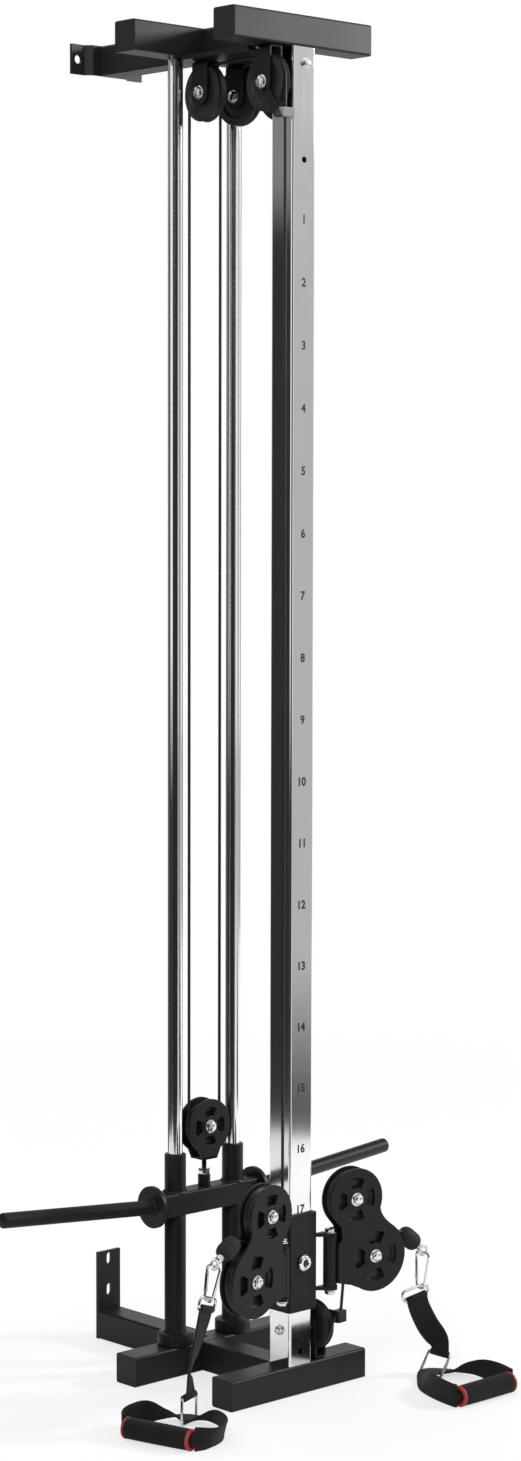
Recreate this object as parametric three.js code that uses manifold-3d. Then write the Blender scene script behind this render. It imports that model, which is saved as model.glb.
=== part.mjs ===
import * as THREE from "three";
import { mergeVertices } from "three/addons/utils/BufferGeometryUtils.js";
import Module from "manifold-3d";

// Wall pulley weight stack: a chrome column with a sliding pair of swivel pulley arms, and a plate
// carriage on two guide rods behind it. Millimetres, +Z up, +X to the right seen from the front and
// +Y towards the wall. The origin lies on the floor, on the column's axis.

// Square tube frame
const tubeSide = 50;
const tubeWall = 3;
const tubeCorner = 4;
const capWall = 4;
const ventRadius = 6;
const columnLength = 2130;
const frontBarLength = 300;
const rearBarLength = 346;
const rodPlane = 211;
const wallPlane = 465;

// Gaps and cuts
const seat = 0.3;
const overrun = 2;
const slideGap = 0.5;
const weldBite = 1;

// Wall fixings
const wallPlateThickness = 6;
const wallPlateRise = 103;
const slotWidth = 11;
const slotLength = 21;
const slotDrops = [14, 69];
const hatWidth = 156;
const hatThickness = 5;
const hatFlange = 28;
const hatSlope = 10;
const hatDepth = 16;
const hatHoleRadius = 7.5;
const hatHoleInset = 14;

// Column holes
const columnHoleRadius = 5;
const columnHoleHeights = [73, 2002];

// Guide rods, their base collars and the tubes that stop the carriage
const rodRadius = 12.5;
const rodSpacing = 130;
const rodSocketDepth = 20;
const stopTubeRadius = 18;
const collarRadius = 30;
const collarHeight = 20;

// Plate carriage
const carriageHeight = 270;
const beamSide = 39;
const beamWall = 3;
const beamLength = 222;
const beamVentX = 97;
const sleeveRise = 64;
const flangeRadius = 35;
const flangeThickness = 8;
const postRadius = 12.5;
const postReach = 434;
const postTilt = 5;
const postTipRound = 4;

// Cable and its pulleys
const cableRadius = 2.5;
const cableClearance = 0.8;
const guideClearance = 1;
const pulleyRadius = 46;
const lowerPulleyRadius = 54;
const liftPulleyRadius = 37;
const grooveDepth = 6;
const grooveFloor = 7;
const pulleyWidth = 16;
const hubLip = 2;
const axleRadius = 5;
const boltHeadRadius = 10;
const boltHeadHeight = 6.5;
const nutHeight = 8;

// Top and base pulley brackets
const strapWidth = 39;
const strapThickness = 4;
const strapGap = 18;
const topAxleDrop = 58;
const pulleyPlateThickness = 6;
const pulleyPlateHalfWidth = 72;
const plateStart = 30;
const platePullback = -4;
const columnRunHeadPlace = [48, 30];
const columnRunFootPlace = [48, 40];
const cableJoint = 1;
const baseAxleHeight = 104;
const baseRelease = 340;
const keeperDrop = 44;
const keeperWidth = 22;
const keeperDepth = 20;
const keeperHeight = 15;
const keeperArmWidth = 14;
const guideStay = [50, 4, 20];
const guideBlock = [15, 18, 20];
const guideBlockCentre = [43.5, 20, 17.5];
const guideRoute = [[41.5, 0, -0.5], [44.2, 1, 8], [44.6, 5, 13], [44.2, 12, 18], [43.5, 19, 23],
  [43.1, 23, 28], [43, 24.3, 33]];

// Lift yoke over the carriage
const liftAxleHeight = 412;
const yokeRadius = 46;
const yokeThickness = 4;
const yokeGap = 22;
const yokeDrop = 56;
const yokeFootWidth = 33;
const stemRadius = 4.2;
const stemNutRadius = 9.5;
const stemNutHeight = 10;
const couplingRadius = 10.5;
const couplingHeight = 20;

// Sliding pulley carriage on the column
const sliderFootHeight = 141;
const sliderHeight = 160;
const sliderWall = 6;
const sliderCorner = 5;
const hingeX = 54;
const hingeY = -38;
const earRadius = 12.5;
const earThickness = 6;
const earHeights = [169, 258];
const hingePinRadius = 5.5;
const hingeHeadRadius = 9;
const barrelRadius = 11.5;
const pinHeight = 221;
const pinShankRadius = 5;
const pinRingRadius = 14;
const pinRingDepth = 7;
const pinRecessRadius = 5;
const pinRecessDepth = 4;

// Swivel arms, measured along the arm from its hinge, and up from the floor
const armPlateThickness = 4;
const armGap = 20;
const wheelGap = 5.94;
const upperLobeRadius = 51;
const lowerLobeReach = 81;
const lowerLobeHeight = 217;
const lowerLobeRadius = 59;
const tabReach = 8;
const tabFootHeight = 180;
const tabHeadHeight = 244;
const throatReach = 15;
const windowHalfAngle = 22;
const lowerLobeStart = 230;
const lowerLobeEnd = 412;
const upperLobeStart = -20;
const upperLobeEnd = 215;
const windowInnerShare = 0.42;
const windowOuterShare = 0.68;
const rightArmYaw = -11;
const leftArmYaw = 187;

// Handles: stops by their place along the arm and their height, the rest by its place on the floor plan
const stopRadius = 15.5;
const stopLength = 37;
const stopNeckShare = 0.6;
const stopBarrelShare = 0.33;
const swivelRadius = 6.5;
const swivelLength = 12;
const eyeRadius = 7.5;
const wireRadius = 2.4;
const wireJoint = 1;
const linkClearance = 0.5;
const hookTopHalf = 13;
const hookFootHalf = 7;
const hookTopCorner = 9;
const hookFootCorner = 6;
const ringHalf = 24;
const ringHeight = 17;
const ringCorner = 4.5;
const lowerRingHeight = 41;
const webWidth = 38;
const webThickness = 4;
const foldWall = 3;
const gripRadius = 17;
const gripLength = 124;
const gripBore = 7;
const coreRadius = 6;
const floorGap = 0.3;
const rightHandle = {
  stop: [157.4, 233.8], lean: 50, stopGap: 1.1, hookYaw: -80, ringSlide: 13,
  strap: [[225, -71, 132], [230, -74, 112], [241, -82, 84], [251, -94, 62], [254, -98, 48],
    [254, -98, 36.6]],
  strapYaws: [-20, -22, -35, -60, -85, -90],
  ringLean: 35,
  grip: [201.6, -248.3, 0],
  band: [[135.4, -236, 0, 0], [142, -204, 6, 0], [154, -172, 18, 0], [168, -149, 32, 0],
    [196, -125, 62, 1], [230.5, -98, 90, 5.9], [254, -103, 84, 2.4], [270, -124, 72, 0],
    [278, -152, 42, 0], [281, -182, 12, 0], [278, -214, 0, 0]],
};
const leftHandle = {
  stop: [134.5, 279], lean: 60, stopGap: 2.1, hookYaw: -78, ringSlide: 0,
  strap: [[-236, -56, 192], [-246, -56, 162], [-256, -52, 124], [-258, -42, 92], [-250, -30, 70],
    [-240, -20, 58], [-238, -18, 51], [-238, -18, 44]],
  strapYaws: [15, 20, 30, 45, 45, 35, 25, 20],
  ringLean: 0,
  grip: [-346.7, -70, -75],
  band: [[-357, 5, 0, 0], [-342, 18, 0, 0], [-318, 27, 0, 0], [-292, 26, 4, 0], [-266, 8, 52, 1],
    [-238, -18, 90, 5.4], [-230, -57, 58, 1], [-240, -92, 12, 0], [-263, -128, -14, 1.2],
    [-300, -145, -24, 2]],
};

// Facets
const roundSides = 16;
const pulleySides = 24;
const cableSides = 8;
const arcStep = 15;
const arcSides = 10;
const windowSteps = 2;
const cornerSteps = 3;
const wireSides = 6;
const bandSteps = 4;
const strapSteps = 16;
const eyeSides = 14;
const hexSides = 6;

// Sizes that follow from the ones above
const degree = Math.PI / 180;
const quarter = Math.PI / 2;
const halfTube = tubeSide / 2;
const frameTop = columnLength + 2 * tubeSide;
const topBarUnderside = frameTop - tubeSide;
const topAxleHeight = topBarUnderside - topAxleDrop;
const cableOffset = cableRadius + cableClearance - grooveDepth;
const cableTurn = pulleyRadius + cableOffset;
const lowerTurn = lowerPulleyRadius + cableOffset;
const liftTurn = liftPulleyRadius + cableOffset;
const upperLobeReach = cableTurn;
const lobeSpacing = pulleyRadius + lowerPulleyRadius + wheelGap;
const lobeShift = lowerLobeReach - upperLobeReach;
const upperLobeHeight = lowerLobeHeight + Math.sqrt(lobeSpacing ** 2 - lobeShift ** 2);
const rodX = rodSpacing / 2;
const sliderInner = tubeSide + 2 * slideGap;
const sliderOuter = sliderInner + 2 * sliderWall;

const finishes = {
  blackSteel: [0x26282a, 0.55, 0.6],
  satinSteel: [0x303234, 0.5, 0.6],
  chrome: [0xc9cbce, 0.18, 1],
  blackPlastic: [0x17181a, 0.6, 0],
  cableCoat: [0x101112, 0.5, 0],
  rubber: [0x1a1b1c, 0.7, 0],
  webbing: [0x101010, 0.95, 0],
  foam: [0x121212, 0.98, 0],
};

const wasm = await Module();
wasm.setup();

const assembly = new THREE.Group();

// Closed geometry as a solid that can be joined and cut.
function toSolid(geometry) {
  const bare = geometry.clone();
  bare.deleteAttribute("normal");
  bare.deleteAttribute("uv");
  const merged = mergeVertices(bare);
  const vertProperties = Float32Array.from(merged.attributes.position.array);
  const triVerts = Uint32Array.from(merged.index.array);
  return new wasm.Manifold(new wasm.Mesh({ numProp: 3, vertProperties, triVerts }));
}

function toGeometry(solid) {
  const mesh = solid.getMesh();
  const geometry = new THREE.BufferGeometry();
  const positions = Float32Array.from(mesh.vertProperties);
  geometry.setAttribute("position", new THREE.BufferAttribute(positions, mesh.numProp));
  geometry.setIndex(new THREE.BufferAttribute(Uint32Array.from(mesh.triVerts), 1));
  geometry.computeVertexNormals();
  return geometry;
}

// One named piece with its own material, added to the group that carries it.
function piece(name, shape, finish, parent = assembly, place = [0, 0, 0]) {
  const [color, roughness, metalness] = finishes[finish];
  const geometry = shape.isBufferGeometry ? shape : toGeometry(shape);
  const material = new THREE.MeshStandardMaterial({ color, roughness, metalness });
  const mesh = new THREE.Mesh(geometry, material);
  mesh.name = name;
  mesh.position.set(...place);
  parent.add(mesh);
  return mesh;
}

function join(...solids) {
  return solids.reduce((whole, next) => whole.add(next));
}

function box(sides, centre) {
  return toSolid(new THREE.BoxGeometry(...sides).translate(...centre));
}

// Round bar, or a hexagonal one with six sides, along the named axis about its centre.
function bar(radius, length, axis, centre, sides = roundSides) {
  const geometry = new THREE.CylinderGeometry(radius, radius, length, sides);
  if (axis === "z") geometry.rotateX(quarter);
  if (axis === "x") geometry.rotateZ(quarter);
  return toSolid(geometry.translate(...centre));
}

// Square with round corners.
function squareShape(side, corner) {
  const reach = side / 2 - corner;
  const shape = new THREE.Shape();
  shape.absarc(reach, reach, corner, 0, quarter);
  shape.absarc(-reach, reach, corner, quarter, 2 * quarter);
  shape.absarc(-reach, -reach, corner, 2 * quarter, 3 * quarter);
  shape.absarc(reach, -reach, corner, 3 * quarter, 4 * quarter);
  shape.closePath();
  return shape;
}

function extrude(shape, depth, curveSegments = cornerSteps) {
  return new THREE.ExtrudeGeometry(shape, { depth, bevelEnabled: false, curveSegments });
}

// Upright plate: its outline lies in the local XZ plane, its thickness is centred on y.
function plate(shape, thickness, y, curveSegments = arcSides) {
  const geometry = extrude(shape, thickness, curveSegments).rotateX(quarter);
  return toSolid(geometry.translate(0, y + thickness / 2, 0));
}

// Open square tube along +Z from height zero.
function squareTube(side, corner, wall, length) {
  const outer = toSolid(extrude(squareShape(side, corner), length));
  const inner = extrude(squareShape(side - 2 * wall, corner - wall / 2), length + 2 * overrun);
  return outer.subtract(toSolid(inner.translate(0, 0, -overrun)));
}

// Square bar along X with closed ends and a vent through its inner face.
function closedBar(length, ventZ) {
  const outer = extrude(squareShape(tubeSide, tubeCorner), length);
  const hollow = squareShape(tubeSide - 2 * tubeWall, tubeCorner - tubeWall / 2);
  const inner = extrude(hollow, length - 2 * capWall);
  outer.translate(0, 0, -length / 2).rotateY(quarter);
  inner.translate(0, 0, capWall - length / 2).rotateY(quarter);
  const vent = bar(ventRadius, tubeSide, "z", [0, 0, ventZ]);
  return toSolid(outer).subtract(toSolid(inner)).subtract(vent);
}

// A route through set stations: a section carried along it stays square to it, and its first
// axis stays as near as it can to the station's side vector.
class Route extends THREE.Curve {
  constructor(points, sides) {
    super();
    this.points = points;
    this.sides = sides;
  }
  getPoint(t, target = new THREE.Vector3()) {
    const last = this.points.length - 1;
    const index = Math.min(Math.floor(t * last + 1 / last / last), last - 1);
    return target.lerpVectors(this.points[index], this.points[index + 1], t * last - index);
  }
  getPointAt(u, target) {
    return this.getPoint(u, target);
  }
  computeFrenetFrames() {
    const frames = { tangents: [], normals: [], binormals: [] };
    const last = this.points.length - 1;
    this.points.forEach((point, index) => {
      const before = this.points[Math.max(index - 1, 0)];
      const after = this.points[Math.min(index + 1, last)];
      const leading = after.clone().sub(point).normalize();
      const trailing = point.clone().sub(before).normalize();
      const tangent = leading.add(trailing).normalize();
      const side = this.sides[Math.min(index, this.sides.length - 1)];
      const normal = side.clone().addScaledVector(tangent, -side.dot(tangent)).normalize();
      frames.tangents.push(tangent);
      frames.normals.push(normal);
      frames.binormals.push(new THREE.Vector3().crossVectors(tangent, normal));
    });
    return frames;
  }
}

function sweep(section, points, sides) {
  const extrudePath = new Route(points, sides);
  return new THREE.ExtrudeGeometry(section, { extrudePath, steps: points.length - 1, bevelEnabled: false });
}

function ringOf(radius, count) {
  const points = [];
  for (let i = 0; i < count; i += 1) {
    const turn = (i / count) * 4 * quarter;
    points.push(new THREE.Vector2(radius * Math.cos(turn), radius * Math.sin(turn)));
  }
  return new THREE.Shape(points);
}

function cable(points, side) {
  return sweep(ringOf(cableRadius, cableSides), points, [new THREE.Vector3(...side)]);
}

// Points of an arc in the upright plane that runs along the unit vector "along".
function arc(centre, along, radius, from, to) {
  const count = Math.ceil(Math.abs(to - from) / arcStep);
  const points = [];
  for (let i = 0; i <= count; i += 1) {
    const angle = (from + ((to - from) * i) / count) * degree;
    const point = centre.clone().addScaledVector(along, radius * Math.cos(angle));
    point.z += radius * Math.sin(angle);
    points.push(point);
  }
  return points;
}

// Grooved wheel turned about the local Y axis, with a plain bore.
function pulley(radius, gap) {
  const hub = gap / 2 - seat;
  const half = pulleyWidth / 2;
  const hubRadius = 2 * axleRadius + hubLip;
  const bore = axleRadius + seat;
  const profile = [
    [bore, -hub], [hubRadius, -hub], [hubRadius, -half], [radius, -half],
    [radius - grooveDepth, -grooveFloor / 2], [radius - grooveDepth, grooveFloor / 2],
    [radius, half], [hubRadius, half], [hubRadius, hub], [bore, hub], [bore, -hub],
  ];
  return new THREE.LatheGeometry(profile.map(([r, y]) => new THREE.Vector2(r, y)), pulleySides);
}

// Bolt through two plates along the local Y axis, its head on the side given by its sign.
function axle(span, x, z, headSide) {
  const shank = bar(axleRadius, span + nutHeight, "y", [x, (-headSide * nutHeight) / 2, z]);
  const headY = (headSide * (span + boltHeadHeight)) / 2;
  const head = bar(boltHeadRadius, boltHeadHeight, "y", [x, headY, z], hexSides);
  const nutY = (-headSide * (span + nutHeight)) / 2;
  const nut = bar(boltHeadRadius, nutHeight, "y", [x, nutY, z], hexSides);
  return join(shank, head, nut);
}

// Four windows around an axle, each a slice of a ring.
function windows(radius, x, z, span) {
  const cuts = [];
  for (let i = 0; i < 4; i += 1) {
    const middle = i * quarter;
    const shape = new THREE.Shape();
    shape.absarc(x, z, radius * windowOuterShare, middle - windowHalfAngle * degree,
      middle + windowHalfAngle * degree);
    shape.absarc(x, z, radius * windowInnerShare, middle + windowHalfAngle * degree,
      middle - windowHalfAngle * degree, true);
    cuts.push(plate(shape, span + 2 * overrun, 0, windowSteps));
  }
  return join(...cuts);
}

// Frame: base and top weldments, each a front bar, a spine, a rear bar and a tail to the wall
function buildFrame() {
  const rearFace = rodPlane - halfTube;
  const spineStart = halfTube - weldBite;
  const spineLength = rearFace + weldBite - spineStart;
  const tailStart = rodPlane + halfTube - weldBite;
  for (const [name, height, inward] of [["base", halfTube, 1], ["top", frameTop - halfTube, -1]]) {
    const depth = name === "base" ? wallPlateThickness : hatDepth;
    const tailLength = wallPlane - depth - tailStart;
    const fixing = name === "base" ? slottedPlate(tailLength) : hatBracket(tailLength);
    const spine = layBack(squareTube(tubeSide, tubeCorner, tubeWall, spineLength), spineStart);
    const tail = layBack(squareTube(tubeSide, tubeCorner, tubeWall, tailLength).add(fixing), tailStart);
    const frontBar = closedBar(frontBarLength, inward * halfTube);
    const rearBar = closedBar(rearBarLength, inward * halfTube).translate([0, rodPlane, 0]);
    let frame = join(frontBar, spine, rearBar, tail);
    for (const side of [-1, 1]) {
      const socketZ = inward * (halfTube - rodSocketDepth / 2 + overrun / 2);
      const socket = bar(rodRadius + seat, rodSocketDepth + overrun, "z", [side * rodX, rodPlane, socketZ]);
      frame = frame.subtract(socket);
    }
    const draught = bar(ventRadius, rodPlane + tubeSide, "y", [0, (rodPlane + tubeSide) / 2, 0]);
    frame = frame.subtract(draught);
    if (name === "top") frame = frame.add(pulleyPlate());
    piece(`${name}_frame`, frame, "blackSteel", assembly, [0, 0, height]);
  }
}

// Turns a solid drawn along +Z to lie along +Y from the given start.
function layBack(solid, start) {
  return solid.rotate([-90, 0, 0]).translate([0, start, 0]);
}

// Plate under the spine and the rear bar that three of the head pulleys hang from.
function pulleyPlate() {
  const length = rodPlane - halfTube - platePullback - plateStart;
  const centreZ = -halfTube - pulleyPlateThickness / 2 + weldBite / 2;
  return box([2 * pulleyPlateHalfWidth, length, pulleyPlateThickness + weldBite],
    [0, plateStart + length / 2, centreZ]);
}

// Wall plate on the end of the base tail, drawn with the tail along +Z and the floor towards +Y.
function slottedPlate(tailLength) {
  const height = tubeSide + wallPlateRise;
  const centreY = halfTube - height / 2;
  let wallPlate = box([tubeSide, height, wallPlateThickness],
    [0, centreY, tailLength + wallPlateThickness / 2]);
  for (const drop of slotDrops) {
    const slot = new THREE.Shape();
    const reach = (slotLength - slotWidth) / 2;
    slot.absarc(0, reach, slotWidth / 2, 0, 2 * quarter);
    slot.absarc(0, -reach, slotWidth / 2, 2 * quarter, 4 * quarter);
    const cut = extrude(slot, wallPlateThickness + 2 * overrun, arcSides / 2);
    cut.translate(0, halfTube - height + drop, tailLength - overrun);
    wallPlate = wallPlate.subtract(toSolid(cut));
  }
  return wallPlate;
}

// Hat-shaped wall bracket on the end of the top tail: two flanges on the wall, a crown on the tail.
function hatBracket(tailLength) {
  const half = hatWidth / 2;
  const crown = half - hatFlange - hatSlope;
  const lift = hatDepth - hatThickness;
  const outer = [[-half, hatDepth], [-half, lift], [-half + hatFlange, lift], [-crown, 0], [crown, 0],
    [half - hatFlange, lift], [half, lift], [half, hatDepth], [half - hatFlange - hatThickness / 2, hatDepth],
    [crown - hatThickness / 2, hatThickness], [-crown + hatThickness / 2, hatThickness],
    [-half + hatFlange + hatThickness / 2, hatDepth]];
  const shape = new THREE.Shape(outer.map(([x, y]) => new THREE.Vector2(x, y)));
  const folded = extrude(shape, tubeSide).translate(0, 0, -halfTube).rotateX(quarter);
  let bracket = toSolid(folded.translate(0, 0, tailLength));
  for (const side of [-1, 1]) {
    const centre = [side * (half - hatHoleInset), 0, tailLength + hatDepth - hatThickness / 2];
    bracket = bracket.subtract(bar(hatHoleRadius, hatThickness + 2 * overrun, "z", centre));
  }
  return bracket;
}

function buildColumn() {
  let column = squareTube(tubeSide, tubeCorner, tubeWall, columnLength - 2 * seat);
  for (const height of columnHoleHeights) {
    const centre = [0, -halfTube, height - tubeSide];
    column = column.subtract(bar(columnHoleRadius, 2 * tubeWall + overrun, "y", centre));
  }
  piece("column", column, "chrome", assembly, [0, 0, tubeSide + seat]);
}

// Guide rods in the rear bars' sockets, each with a stop tube and its collar at the foot
function buildRods() {
  const rodFoot = tubeSide - rodSocketDepth + seat;
  const rodLength = topBarUnderside + rodSocketDepth - seat - rodFoot;
  const tubeFoot = tubeSide + seat;
  const tubeLength = carriageHeight - seat - tubeFoot;
  for (const [name, side] of [["left", -1], ["right", 1]]) {
    const x = side * rodX;
    const rod = bar(rodRadius, rodLength, "z", [0, 0, rodLength / 2]);
    piece(`guide_rod_${name}`, rod, "chrome", assembly, [x, rodPlane, rodFoot]);
    const tube = bar(stopTubeRadius, tubeLength, "z", [0, 0, tubeLength / 2]);
    const collar = bar(collarRadius, collarHeight, "z", [0, 0, collarHeight / 2]);
    const boreLength = tubeLength + 2 * overrun;
    const bore = bar(rodRadius + seat, boreLength, "z", [0, 0, tubeLength / 2]);
    const stopTube = join(tube, collar).subtract(bore);
    piece(`stop_tube_${name}`, stopTube, "blackSteel", assembly, [x, rodPlane, tubeFoot]);
  }
}

// Unit vector and yaw from one plan point to another.
function headed(from, to) {
  const along = new THREE.Vector3(to[0] - from[0], to[1] - from[1], 0).normalize();
  return { along, yaw: Math.atan2(along.y, along.x) };
}

// U-shaped strap about an axle at the local origin, opening down, its crown at the height "rise".
function strap(rise, headSide) {
  const reach = strapWidth / 2;
  const leg = new THREE.Shape();
  leg.moveTo(reach, rise);
  leg.lineTo(-reach, rise);
  leg.absarc(0, 0, reach, 2 * quarter, 4 * quarter);
  leg.closePath();
  const legY = (strapGap + strapThickness) / 2;
  const span = strapGap + 2 * strapThickness;
  const crown = box([strapWidth, span, strapThickness], [0, 0, rise - strapThickness / 2]);
  const legs = [-1, 1].map((side) => plate(leg, strapThickness, side * legY, arcSides / 2));
  return join(...legs, crown, axle(span, 0, 0, headSide));
}

// Where the four top pulleys stand in plan, from the runs of cable that they carry
const leftRear = [-liftTurn, rodPlane];
const leftFront = [-hingeX, hingeY];
const rightRear = [liftTurn, rodPlane];
const rightFront = columnRunHeadPlace;
const leftLine = headed(leftRear, leftFront);
const rightLine = headed(rightRear, rightFront);
const topPulleys = [
  { name: "top_pulley_rear_left", at: leftRear, line: leftLine, inset: 1 },
  { name: "top_pulley_front_left", at: leftFront, line: leftLine, inset: -1 },
  { name: "top_pulley_rear_right", at: rightRear, line: rightLine, inset: 1 },
  { name: "top_pulley_middle_right", at: rightFront, line: rightLine, inset: -1 },
];

function pulleyCentre({ at, line, inset }) {
  const centre = new THREE.Vector3(at[0], at[1], topAxleHeight);
  return centre.addScaledVector(line.along, inset * cableTurn);
}

function buildTopPulleys() {
  const plateBottom = topBarUnderside - pulleyPlateThickness;
  for (const station of topPulleys) {
    const centre = pulleyCentre(station);
    const hangHeight = centre.y < halfTube ? topBarUnderside : plateBottom;
    let bracket = strap(hangHeight - seat - topAxleHeight, -1);
    if (station.name === "top_pulley_front_left") bracket = bracket.add(keeper());
    const group = new THREE.Group();
    group.position.copy(centre);
    group.rotation.z = station.line.yaw;
    piece(`${station.name}_strap`, bracket, "satinSteel", group);
    piece(station.name, pulley(pulleyRadius, strapGap), "blackPlastic", group);
    assembly.add(group);
  }
}

// Slanted arm from the strap to a block that keeps the cable in the front pulley's groove.
function keeper() {
  const span = strapGap + 2 * strapThickness;
  const armY = -(span - strapThickness) / 2;
  const arm = new THREE.Shape();
  arm.moveTo(0, keeperArmWidth / 2);
  arm.lineTo(-keeperArmWidth / 2, -keeperArmWidth / 2);
  arm.lineTo(cableTurn - keeperWidth / 2, -keeperDrop - keeperHeight);
  arm.lineTo(cableTurn + keeperWidth / 2, -keeperDrop - keeperHeight);
  arm.lineTo(cableTurn, -keeperDrop);
  arm.closePath();
  const depth = span / 2 + keeperDepth / 2;
  const blockCentre = [cableTurn, keeperDepth / 2 - depth / 2, -keeperDrop - keeperHeight / 2];
  const block = box([keeperWidth, depth, keeperHeight], blockCentre);
  const bore = bar(cableRadius + guideClearance - seat, keeperHeight + 2 * overrun, "z",
    [cableTurn, 0, -keeperDrop - keeperHeight / 2]);
  return join(plate(arm, strapThickness, armY), block).subtract(bore);
}

// Base pulley beside the column, in a strap that stands on the base bar
const baseFront = [hingeX, hingeY];
const baseLine = headed(columnRunFootPlace, baseFront);
const baseTurn = Math.hypot(baseFront[0] - columnRunFootPlace[0], baseFront[1] - columnRunFootPlace[1]) / 2;
const basePulleyRadius = baseTurn - cableOffset;
const baseCentre = new THREE.Vector3(
  (columnRunFootPlace[0] + baseFront[0]) / 2, (columnRunFootPlace[1] + baseFront[1]) / 2, baseAxleHeight);

function buildBasePulley() {
  const group = new THREE.Group();
  group.position.copy(baseCentre);
  group.rotation.z = baseLine.yaw;
  const outerFace = strapGap / 2 + strapThickness;
  const [stayLength, stayThickness, stayHeight] = guideStay;
  const stay = box(guideStay, [stayLength / 2, outerFace - stayThickness / 2, guideBlockCentre[2]]);
  const block = box([guideBlock[0], guideBlock[1], stayHeight], guideBlockCentre);
  const bracket = strap(baseAxleHeight - tubeSide - seat, 1).rotate([180, 0, 0]);
  const route = guideRoute.map((place) => new THREE.Vector3(...place));
  const beyond = route[route.length - 1].clone().add(new THREE.Vector3(0, 0, overrun));
  const boreSection = ringOf(cableRadius + guideClearance, cableSides);
  const bore = sweep(boreSection, [...route, beyond], [new THREE.Vector3(1, 0, 0)]);
  piece("base_pulley_strap", join(bracket, stay, block).subtract(toSolid(bore)), "satinSteel", group);
  piece("base_pulley", pulley(basePulleyRadius, strapGap), "blackPlastic", group);
  assembly.add(group);
}

// Plate carriage with sleeves on the rods and a flange at each end
function buildCarriage() {
  const group = new THREE.Group();
  group.position.set(0, rodPlane, carriageHeight);
  const middle = beamSide / 2;
  const shell = extrude(squareShape(beamSide, tubeCorner), beamLength);
  const hollow = extrude(squareShape(beamSide - 2 * beamWall, tubeCorner - beamWall / 2), beamLength);
  const turned = [shell, hollow].map((shape) => shape.translate(0, 0, -beamLength / 2).rotateY(quarter));
  let beam = toSolid(turned[0].translate(0, 0, middle));
  beam = beam.subtract(toSolid(turned[1].translate(0, 0, middle)));
  const sleeveLength = beamSide + sleeveRise;
  const bores = [];
  for (const side of [-1, 1]) {
    const flangeX = side * (beamLength + flangeThickness) / 2;
    beam = beam.add(bar(flangeRadius, flangeThickness, "x", [flangeX, 0, middle]));
    beam = beam.add(bar(stopTubeRadius, sleeveLength, "z", [side * rodX, 0, sleeveLength / 2]));
    const sleeveMiddle = [side * rodX, 0, sleeveLength / 2];
    bores.push(bar(rodRadius + slideGap, sleeveLength + 2 * overrun, "z", sleeveMiddle));
  }
  const stemHole = bar(stemRadius, 4 * beamWall, "z", [0, 0, beamSide]);
  const vents = [-1, 1].map((side) => bar(ventRadius, 4 * beamWall, "z", [side * beamVentX, 0, 0]));
  piece("carriage_beam", beam.subtract(join(...bores, stemHole, ...vents)), "satinSteel", group);

  const flangeFace = beamLength / 2 + flangeThickness;
  const postLength = (postReach - flangeFace) / Math.cos(postTilt * degree) + flangeThickness;
  const profile = [[0, -flangeThickness], [postRadius, -flangeThickness],
    [postRadius, postLength - flangeThickness - postTipRound],
    [postRadius - postTipRound, postLength - flangeThickness], [0, postLength - flangeThickness]];
  const rod = new THREE.LatheGeometry(profile.map(([r, y]) => new THREE.Vector2(r, y)), roundSides);
  const cutSide = 4 * postRadius;
  for (const [name, side] of [["left", -1], ["right", 1]]) {
    const tilted = rod.clone().rotateZ(side * (postTilt * degree - quarter));
    tilted.translate(side * flangeFace, 0, middle);
    const cutX = side * (flangeFace + seat - cutSide / 2);
    piece(`plate_post_${name}`, toSolid(tilted).subtract(box([cutSide, cutSide, cutSide], [cutX, 0, middle])),
      "satinSteel", group);
  }

  const yokeFoot = liftAxleHeight - yokeDrop - carriageHeight;
  const stemFoot = beamSide + seat;
  const stemLength = yokeFoot - seat - stemFoot;
  const nutCentre = stemFoot + couplingHeight + stemNutHeight / 2;
  const stem = join(
    bar(stemRadius, stemLength, "z", [0, 0, stemFoot + stemLength / 2]),
    bar(couplingRadius, couplingHeight, "z", [0, 0, stemFoot + couplingHeight / 2]),
    bar(stemNutRadius, stemNutHeight, "z", [0, 0, nutCentre], hexSides));
  piece("lift_stem", stem, "satinSteel", group);

  const outline = new THREE.Shape();
  const lean = Math.acos((yokeRadius - yokeFootWidth / 2) / yokeDrop);
  outline.absarc(0, 0, yokeRadius, -lean, 2 * quarter + lean);
  outline.lineTo(-yokeFootWidth / 2, -yokeDrop);
  outline.lineTo(yokeFootWidth / 2, -yokeDrop);
  outline.closePath();
  const span = yokeGap + 2 * yokeThickness;
  const plateY = (yokeGap + yokeThickness) / 2;
  const plates = [-1, 1].map((side) => plate(outline, yokeThickness, side * plateY));
  const foot = box([yokeFootWidth, span, yokeThickness], [0, 0, yokeThickness / 2 - yokeDrop]);
  const yoke = join(...plates, foot).subtract(windows(yokeRadius, 0, 0, span)).add(axle(span, 0, 0, -1));
  const axleZ = liftAxleHeight - carriageHeight;
  piece("lift_yoke", yoke, "satinSteel", group, [0, 0, axleZ]);
  piece("lift_pulley", pulley(liftPulleyRadius, yokeGap), "blackPlastic", group, [0, 0, axleZ]);
  assembly.add(group);
}

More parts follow.
